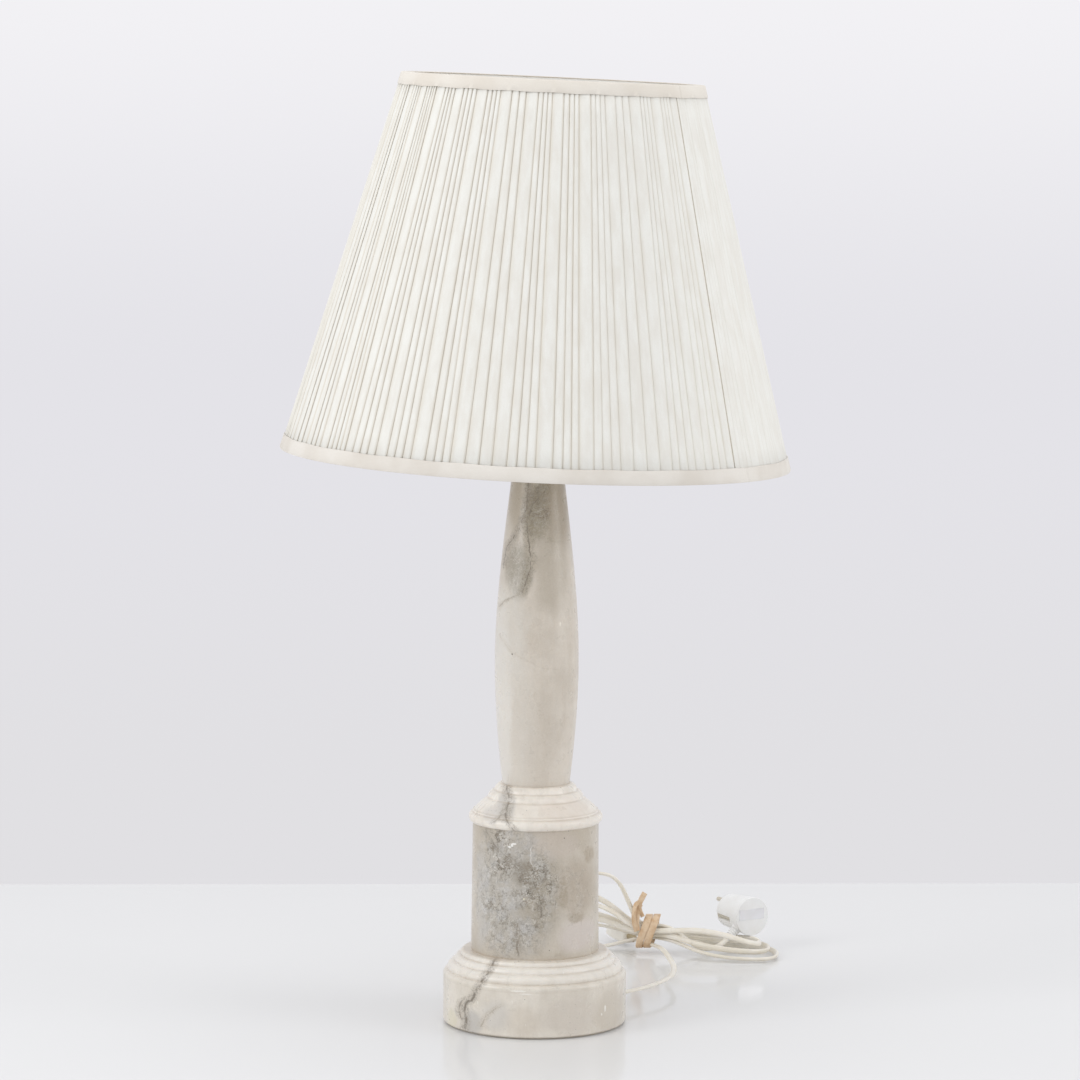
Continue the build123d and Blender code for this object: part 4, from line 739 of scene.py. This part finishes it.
LEAN = math.radians(2.3)
LEAN_ORIGIN = Vector((0, 0, 0.631))
LEAN_UP = Vector((math.sin(LEAN), 0, math.cos(LEAN)))
LEAN_ACROSS = Vector((math.cos(LEAN), 0, -math.sin(LEAN)))
SHADE_TOP, SHADE_HEIGHT = mm(302), mm(371)
SHADE_TOP_RADIUS, SHADE_BOTTOM_RADIUS = mm(148), mm(251)
PLEATS = 38
CREST_INSET = mm(0.9)


def on_shade(share, angle, inset):
    """A point of the cover: share is 0 at the bottom rim and 1 at the top, angle turns from +X to +Y."""
    radius = SHADE_BOTTOM_RADIUS + (SHADE_TOP_RADIUS - SHADE_BOTTOM_RADIUS) * share - inset
    level = SHADE_TOP - SHADE_HEIGHT * (1 - share)
    middle = LEAN_ORIGIN + LEAN_UP * level
    return middle + LEAN_ACROSS * radius * math.cos(angle) + Vector((0, radius * math.sin(angle), 0))


PLEAT_STEP = mm(1.05)       # from the top of a fold down to the next pleat
PLEAT_ROLL = mm(3.0)        # the rounded folded edge, along the cloth
# turns to the right of the front: the pleats get flatter, the seam, the end of the flat cloth
FADE_TURN, SEAM_TURN, CALM_TURN = 0.035, 0.139, 0.27
FADED, SEAM_STEP, FLAT = 0.6, 1.5, 0.15         # share of the full step before, at and after the seam
# along: 0 to 1 over the flat of a pleat, 1 to 2 round its fold; drop: share of the step; crease: 0 to 1, the share of
# painted shade along the fold
PLEAT_PROFILE = [
    (0.0, 1.0, 0.9), (0.12, 0.66, 0.35), (0.36, 0.38, 0.0), (0.72, 0.12, 0.0), (1.0, 0.0, 0.0),
    (1.3, 0.07, 0.1), (1.6, 0.36, 0.55), (1.9, 0.84, 1.0),
]
# the tuck that goes back under the pleat, out of sight: how far back, and below the step
TUCK_LOW, TUCK_HIGH = mm(3.6), mm(2.3)
TUCK_PROFILE = [(1.0, mm(0.16)), (1.0, mm(0.42)), (0.1, mm(0.40))]
COVER_ROWS, COVER_MARGIN, CLOTH_THICKNESS = 13, mm(1.0), mm(0.22)
PLEAT_WANDER = 0.00022      # turns that a fold strays to the side


def pleat_stations():
    """The cloth's path round the shade, as (turn at bottom, at top, inset, how far into the crease, which sets its
    painted shade).
    Each repeat has one wide pleat and two to four narrow ones, whose folded edges face the right."""
    stations = []
    girth_low, girth_high = 2 * math.pi * SHADE_BOTTOM_RADIUS, 2 * math.pi * SHADE_TOP_RADIUS
    for repeat in range(PLEATS):
        narrow = chance.choice((3, 3, 3, 3, 4, 2))
        wide_low, wide_high = 0.32 + chance.uniform(-0.07, 0.07), 0.48 + chance.uniform(-0.08, 0.06)
        parts = [chance.uniform(0.85, 1.15) for _ in range(narrow)]
        low, high = repeat / PLEATS, repeat / PLEATS
        for k in range(narrow + 1):
            part = parts[k - 1] / sum(parts)
            low_width = (wide_low if k == 0 else (1 - wide_low) * part) / PLEATS
            high_width = (wide_high if k == 0 else (1 - wide_high) * part) / PLEATS
            share = FLAT if SEAM_TURN < low < CALM_TURN else FADED if FADE_TURN < low <= SEAM_TURN else 1.0
            if low <= SEAM_TURN < low + low_width:
                share = SEAM_STEP
            step = PLEAT_STEP * share * chance.uniform(0.7, 1.1)
            lift = mm(chance.uniform(0.0, 0.15))
            low_roll = min(0.4, PLEAT_ROLL / (low_width * girth_low))
            high_roll = min(0.45, PLEAT_ROLL * 0.8 / (high_width * girth_high))
            for along, drop, crease in PLEAT_PROFILE:
                low_at = (1 - low_roll) * along if along <= 1 else 1 - low_roll * (2 - along)
                high_at = (1 - high_roll) * along if along <= 1 else 1 - high_roll * (2 - along)
                stations.append((
                    low + low_width * low_at, high + high_width * high_at, lift + step * drop, crease * share,
                ))
            low, high = low + low_width, high + high_width
            for back, below in TUCK_PROFILE:
                inset = lift + step * 0.9 + below
                stations.append((
                    low - back * TUCK_LOW / girth_low, high - back * TUCK_HIGH / girth_high, inset, 1.0,
                ))
    return stations


def make_cover():
    """The pleated cloth, from just above the bottom rim to just under the top one."""
    low_share, high_share = COVER_MARGIN / SHADE_HEIGHT, 1 - COVER_MARGIN / SHADE_HEIGHT
    stations = pleat_stations()
    around = len(stations)
    points, crease_shades = [], []
    each = len(PLEAT_PROFILE) + len(TUCK_PROFILE)
    drifts = [chance.uniform(-1, 1) for _ in range(around // each + 1)]
    for row in range(COVER_ROWS):
        height = low_share + (high_share - low_share) * row / (COVER_ROWS - 1)
        for k, (low, high, inset, crease) in enumerate(stations):
            drift = drifts[k // each]
            wander = PLEAT_WANDER * drift * math.sin(math.pi * height) * math.sin(height * 5 + drift * 3)
            turn = low + (high - low) * height + wander
            points.append(on_shade(height, turn * 2 * math.pi - math.pi / 2, CREST_INSET + inset))
            crease_shades.append(crease)
    cover = mesh_piece("pleated_cloth", points, ring_faces(COVER_ROWS, around), smooth_angle=70)
    # the crease attribute carries the painted shade along the folds
    crease_shade_mark = cover.data.attributes.new("crease", "FLOAT", "POINT")
    for mark, crease in zip(crease_shade_mark.data, crease_shades):
        mark.value = crease
    thick = cover.modifiers.new("cloth", "SOLIDIFY")
    thick.thickness = CLOTH_THICKNESS
    thick.offset = -1.0
    thick.use_rim = True
    bpy.context.view_layer.objects.active = cover
    bpy.ops.object.modifier_apply(modifier=thick.name)
    return cover


cloth = make_cover()
dress(cloth, pleated_cloth())
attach(cloth, "shade")
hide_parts("pleated_cover")

# ---- tapes over the rims -------------------------------------------

TAPE_STEPS, TAPE_TURN_OVER, TAPE_OUTSIDE = 288, mm(8.6), mm(0.7)
# turns: where a tape joins, how sharp its end is, how far it takes to lie down; and its step there
JOIN_TURN, JOIN_EDGE, JOIN_FALL, JOIN_STEP = 0.9, 0.0003, 0.02, mm(0.7)
TAPE_PUCKER, TAPE_EDGE_WAVE = mm(0.03), 0.0006


def make_tape(name, share_out, share_rim):
    """A glued tape: down the outside, over the rim and a little way inside, with a lapped join."""
    turns = sorted([k / TAPE_STEPS for k in range(TAPE_STEPS)] + [JOIN_TURN - JOIN_EDGE, JOIN_TURN + JOIN_EDGE])
    sign = 1 if share_rim > share_out else -1
    tip = mm(1.0) / SHADE_HEIGHT * sign
    outline = [
        (share_out, mm(0.62)), (share_out + tip * 0.6, mm(0.16)), (share_rim - tip * 6, mm(0.10)),
        (share_rim - tip * 1.2, mm(0.05)), (share_rim - tip * 0.3, mm(0.5)), (share_rim, mm(1.6)),
        (share_rim, TAPE_TURN_OVER - mm(1.2)), (share_rim - tip * 0.5, TAPE_TURN_OVER),
        (share_rim - tip * 1.2, TAPE_TURN_OVER - mm(0.9)), (share_rim - tip * 0.9, mm(1.8)),
        (share_rim - tip * 1.6, mm(0.85)), (share_out, mm(0.85)),
    ]
    points = []
    for turn in turns:
        angle = turn * 2 * math.pi
        lap = max(0.0, 1 - (turn - JOIN_TURN) / JOIN_FALL) if turn > JOIN_TURN else 0.0
        proud = TAPE_PUCKER * math.sin(angle * 37) * math.sin(angle * 11 + 1) + JOIN_STEP * lap
        for share, inset in outline:
            edge = TAPE_EDGE_WAVE * math.sin(angle * 23) if share == share_out else 0.0
            points.append(on_shade(share + edge, angle, inset - (proud if inset < TAPE_OUTSIDE else 0)))
    around, count = len(turns), len(outline)
    faces = []
    for k in range(around):
        n = (k + 1) % around
        for j in range(count):
            i = (j + 1) % count
            face = (k * count + j, n * count + j, n * count + i, k * count + i)
            faces.append(face if sign > 0 else tuple(reversed(face)))
    return mesh_piece(name, points, faces, smooth_angle=55)


top_tape = make_tape("top_tape", 1 - mm(12.2) / SHADE_HEIGHT, 1.0)
bottom_tape = make_tape("bottom_tape", mm(13.8) / SHADE_HEIGHT, 0.0)
for piece, node, tape_cloth in (
    (top_tape, "top_trim", trim_tape("cotton_tape_cream", "#ece6dc", "#e4dcd0")),
    # the bottom tape is the same tape in darker tones: painted shade, as it faces down
    (bottom_tape, "bottom_trim", trim_tape("cotton_tape_cream_shaded", "#e8e3db", "#dbd4ca")),
):
    dress(piece, tape_cloth)
    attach(piece, "shade")
    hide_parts(node)

# ---- tie round the hank --------------------------------------------

STRIP_WIDTH, STRIP_THICKNESS, STRIP_EDGE = mm(7.6), mm(1.5), 0.35
# the turns, in millimetres
WRAP_MIDDLE = Vector((119.4, 330, 24.4))
WRAP_HALF_WIDTH, WRAP_HALF_HEIGHT, WRAP_SQUARENESS = 13.8, 17.4, 2.4
WRAP_LEAN_UP, WRAP_LEAN_BACK, WRAP_PITCH = 0.30, 0.35, 8.4
WRAP_START, WRAP_END = math.radians(-125), math.radians(560)
WRAP_STEPS, WRAP_UNEVENNESS, WRAP_LEAN_HEIGHT = 96, 0.012, 5


def wrap_line():
    """Two turns of the strip round the bundle, leaning to the right: places and the way out at each."""
    line, outward = [], []
    for k in range(WRAP_STEPS + 1):
        angle = WRAP_START + (WRAP_END - WRAP_START) * k / WRAP_STEPS
        c, s = math.cos(angle), math.sin(angle)
        flat = (abs(c) ** WRAP_SQUARENESS + abs(s) ** WRAP_SQUARENESS) ** (-1 / WRAP_SQUARENESS)
        ease = 1 + WRAP_UNEVENNESS * math.sin(angle * 2.3)
        y, z = -WRAP_HALF_WIDTH * flat * c * ease, WRAP_HALF_HEIGHT * flat * s * ease
        low = 0.5 - 0.5 * math.tanh(z / WRAP_LEAN_HEIGHT)       # 1 in the lower half, which leans back
        lean_back = y if low > 0.99 else y * low - WRAP_HALF_WIDTH * (1 - low)
        x = WRAP_LEAN_UP * z + WRAP_LEAN_BACK * lean_back + WRAP_PITCH * angle / (2 * math.pi)
        line.append((WRAP_MIDDLE + Vector((x, y, z))) / 1000)
        power = WRAP_SQUARENESS - 1
        out_y = math.copysign(abs(y / WRAP_HALF_WIDTH) ** power / WRAP_HALF_WIDTH, y)
        out_z = math.copysign(abs(z / WRAP_HALF_HEIGHT) ** power / WRAP_HALF_HEIGHT, z)
        outward.append(Vector((0, out_y, out_z)).normalized())
    return line, outward


def smooth_through(places):
    """A smooth line through a few places, for the strip's knot."""
    line = []
    for i in range(len(places) - 1):
        before, a = places[max(i - 1, 0)], places[i]
        b, after = places[i + 1], places[min(i + 2, len(places) - 1)]
        for k in range(KNOT_STEPS):
            t = k / KNOT_STEPS
            line.append(0.5 * (
                2 * a + (b - before) * t + (2 * before - 5 * a + 4 * b - after) * t ** 2
                + (3 * a - before - 3 * b + after) * t ** 3
            ))
    return line + [places[-1]]


def strip_section(width):
    """The flat strip, cut across, with softened edges."""
    w, t, e = width / 2, STRIP_THICKNESS / 2, min(width, STRIP_THICKNESS) * STRIP_EDGE
    return [(w, -t + e), (w, t - e), (w - e, t), (-w + e, t), (-w, t - e), (-w, -t + e), (-w + e, -t), (w - e, -t)]


def ribbon(name, line, outward, widths):
    """A flat strip along a line, its face towards outward; widths run evenly from its start to its end."""
    points, rings = [], len(line)
    for i, place in enumerate(line):
        ahead = (line[min(i + 1, rings - 1)] - line[max(i - 1, 0)]).normalized()
        across = ahead.cross(outward[i]).normalized()
        face = across.cross(ahead)
        spot = i / (rings - 1) * (len(widths) - 1)
        j = min(int(spot), len(widths) - 2)
        width = widths[j] + (widths[j + 1] - widths[j]) * (spot - j)
        section = strip_section(width)
        points += [place + across * u + face * v for u, v in section]
    total = len(section)
    faces = [(a, d, c, b) for a, b, c, d in ring_faces(rings, total)]
    faces += [tuple(range(total)), tuple(reversed(range((rings - 1) * total, rings * total)))]
    strip = mesh_piece(name, points, faces, smooth_angle=50)
    bpy.ops.object.mode_set(mode="EDIT")
    bpy.ops.mesh.select_all(action="SELECT")
    bpy.ops.mesh.normals_make_consistent(inside=False)
    bpy.ops.object.mode_set(mode="OBJECT")
    return strip


KNOT_STEPS = 8
# the knot at the upper left: places and which way the strip faces there
TIE_TAIL = [
    ((114.5, 319.5, 42), (0, -1, 0.2)), ((112.6, 317.2, 47), (0.1, -1, 0)), ((111.4, 315.6, 52), (0.2, -1, 0)),
    ((111.2, 315.2, 57), (0.1, -1, 0.1)), ((113.4, 315.6, 62.4), (-0.1, -1, 0.2)),
    ((116.6, 316.4, 68.2), (-0.2, -1, 0.3)),
]
TIE_EAR = [
    ((112.4, 317.6, 53), (-0.5, -1, 0.4)), ((110.2, 316.4, 57.6), (-0.6, -1, 0.7)),
    ((106.8, 314.6, 55.2), (-0.8, -1, 0.4)), ((105.3, 314.0, 48.2), (-0.7, -1, 0)),
    ((104.9, 314.0, 41.2), (-0.6, -1, 0)), ((106.2, 314.4, 33.5), (-0.3, -1, 0)), ((108.6, 315.4, 27), (0, -1, 0)),
]
TIE_BAND = [
    ((111.0, 316.4, 55), (0.3, -1, 0)), ((110.2, 316.2, 49.4), (0.4, -1, 0)), ((109.0, 316.0, 43), (0.3, -1, 0)),
    ((108.2, 316.2, 36), (0, -1, 0)), ((109, 316.8, 29), (0, -1, 0)),
]


def knot_strip(name, stations, widths):
    """One strip of the knot, through its places and turned the way it faces at each; widths in millimetres."""
    places = smooth_through([point_mm(*place) for place, _ in stations])
    faces = smooth_through([Vector(face) for _, face in stations])
    return ribbon(name, places, [face.normalized() for face in faces], [mm(width) for width in widths])


def make_tie():
    line, outward = wrap_line()
    return [
        ribbon("tie_wraps", line, outward, [STRIP_WIDTH * w for w in (0.8, 1.0, 1.02, 0.98, 1.0, 1.0, 0.85)]),
        knot_strip("tie_end", TIE_TAIL, (4.6, 3.8, 3.6, 5.4, 6.0, 5.8)),
        knot_strip("tie_ear", TIE_EAR, (4.0, 5.2, 5.4, 5.4, 5.2, 5.6, 6.0)),
        knot_strip("tie_knot", TIE_BAND, (4.0, 4.8, 5.0, 5.0, 5.0)),
    ]


tie_pieces = make_tie()
lace = tie_strip()
for piece in tie_pieces:
    dress(piece, lace)
    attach(piece, "lamp")
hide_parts("cord_tie")

for piece, node in ((flex_lead, "cord_lead"), (flex_hank, "cord_hank")):
    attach(piece, "lamp")
    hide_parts(node)

# ---- table, backdrop and light -------------------------------------

TABLE_SIDE, TABLE_MIDDLE, TABLE_TURN = 1.56, Vector((0.0375, -0.0595, 0)), math.radians(2.43)
WORLD_STRENGTH = 0.76
# the wall behind: each tone takes over between two heights, sines of the angle of view
WALL_FOOT, WALL_TONES = "#e1e0e3", (("#e4e3e8", -0.17, -0.08), ("#f3f2f5", -0.08, 0.02))
LIGHTS_AIM = Vector((0, 0, 0.5))


def make_stage():
    bpy.ops.mesh.primitive_plane_add(size=1)
    table = bpy.context.object
    table.name = "table_top"
    turn = Matrix.Rotation(TABLE_TURN, 4, "Z")
    table.data.transform(Matrix.Translation(TABLE_MIDDLE) @ turn @ Matrix.Diagonal((TABLE_SIDE, TABLE_SIDE, 1, 1)))
    material, _ = new_material("table_white_lacquered")
    table.data.materials.append(finished(material, {
        "Base Color": colour("#e9e9e9"), "Roughness": 0.12, "IOR": 1.45, "Specular IOR Level": 0.22,
    }))


def backdrop_world():
    """Even white light from all round; what is seen behind is a pale wall, lighter towards its top."""
    world = bpy.data.worlds.new("studio")
    scene.world = world
    world.use_nodes = True
    tree = world.node_tree
    tree.nodes.clear()
    seen = add(tree, "LightPath").outputs
    shown = add(tree, "Math", {0: seen["Is Camera Ray"], 1: seen["Is Glossy Ray"]}, operation="MAXIMUM")
    shown = add(tree, "Math", {0: shown, 1: seen["Is Transmission Ray"]}, operation="MAXIMUM")
    rise = add(tree, "SeparateXYZ", {0: add(tree, "TexCoord").outputs["Generated"]}).outputs["Z"]
    wall = colour(WALL_FOOT)
    for tone, low, high in WALL_TONES:
        climb = add(tree, "MapRange", {0: rise, 1: low, 2: high}, interpolation_type="SMOOTHSTEP")
        wall = lay(tree, wall, tone, climb)
    light = add(tree, "Background", {"Color": colour("#f4f5f8"), "Strength": WORLD_STRENGTH})
    wall = add(tree, "Background", {"Color": wall, "Strength": 1.0})
    add(tree, "OutputWorld", {"Surface": add(tree, "MixShader", {0: shown, 1: light, 2: wall})})


def softbox(name, place, size, watts):
    """A soft light of this size in metres, aimed at the middle of the lamp."""
    data = bpy.data.lights.new(name, "AREA")
    data.shape = "RECTANGLE"
    data.size, data.size_y = size
    data.energy = watts
    light = bpy.data.objects.new(name, data)
    scene.collection.objects.link(light)
    turn = (LIGHTS_AIM - Vector(place)).to_track_quat("-Z", "Y")
    light.matrix_world = Matrix.Translation(place) @ turn.to_matrix().to_4x4()
    light.visible_camera = False


make_stage()
backdrop_world()
softbox("key_left", (-2.4, -1.35, 1.5), (1.2, 1.8), 27)
softbox("fill_right", (2.55, -0.85, 1.3), (1.4, 2.0), 19)
softbox("top", (0.0, -0.2, 2.8), (2.4, 2.4), 12)
scene.view_settings.view_transform = "Standard"
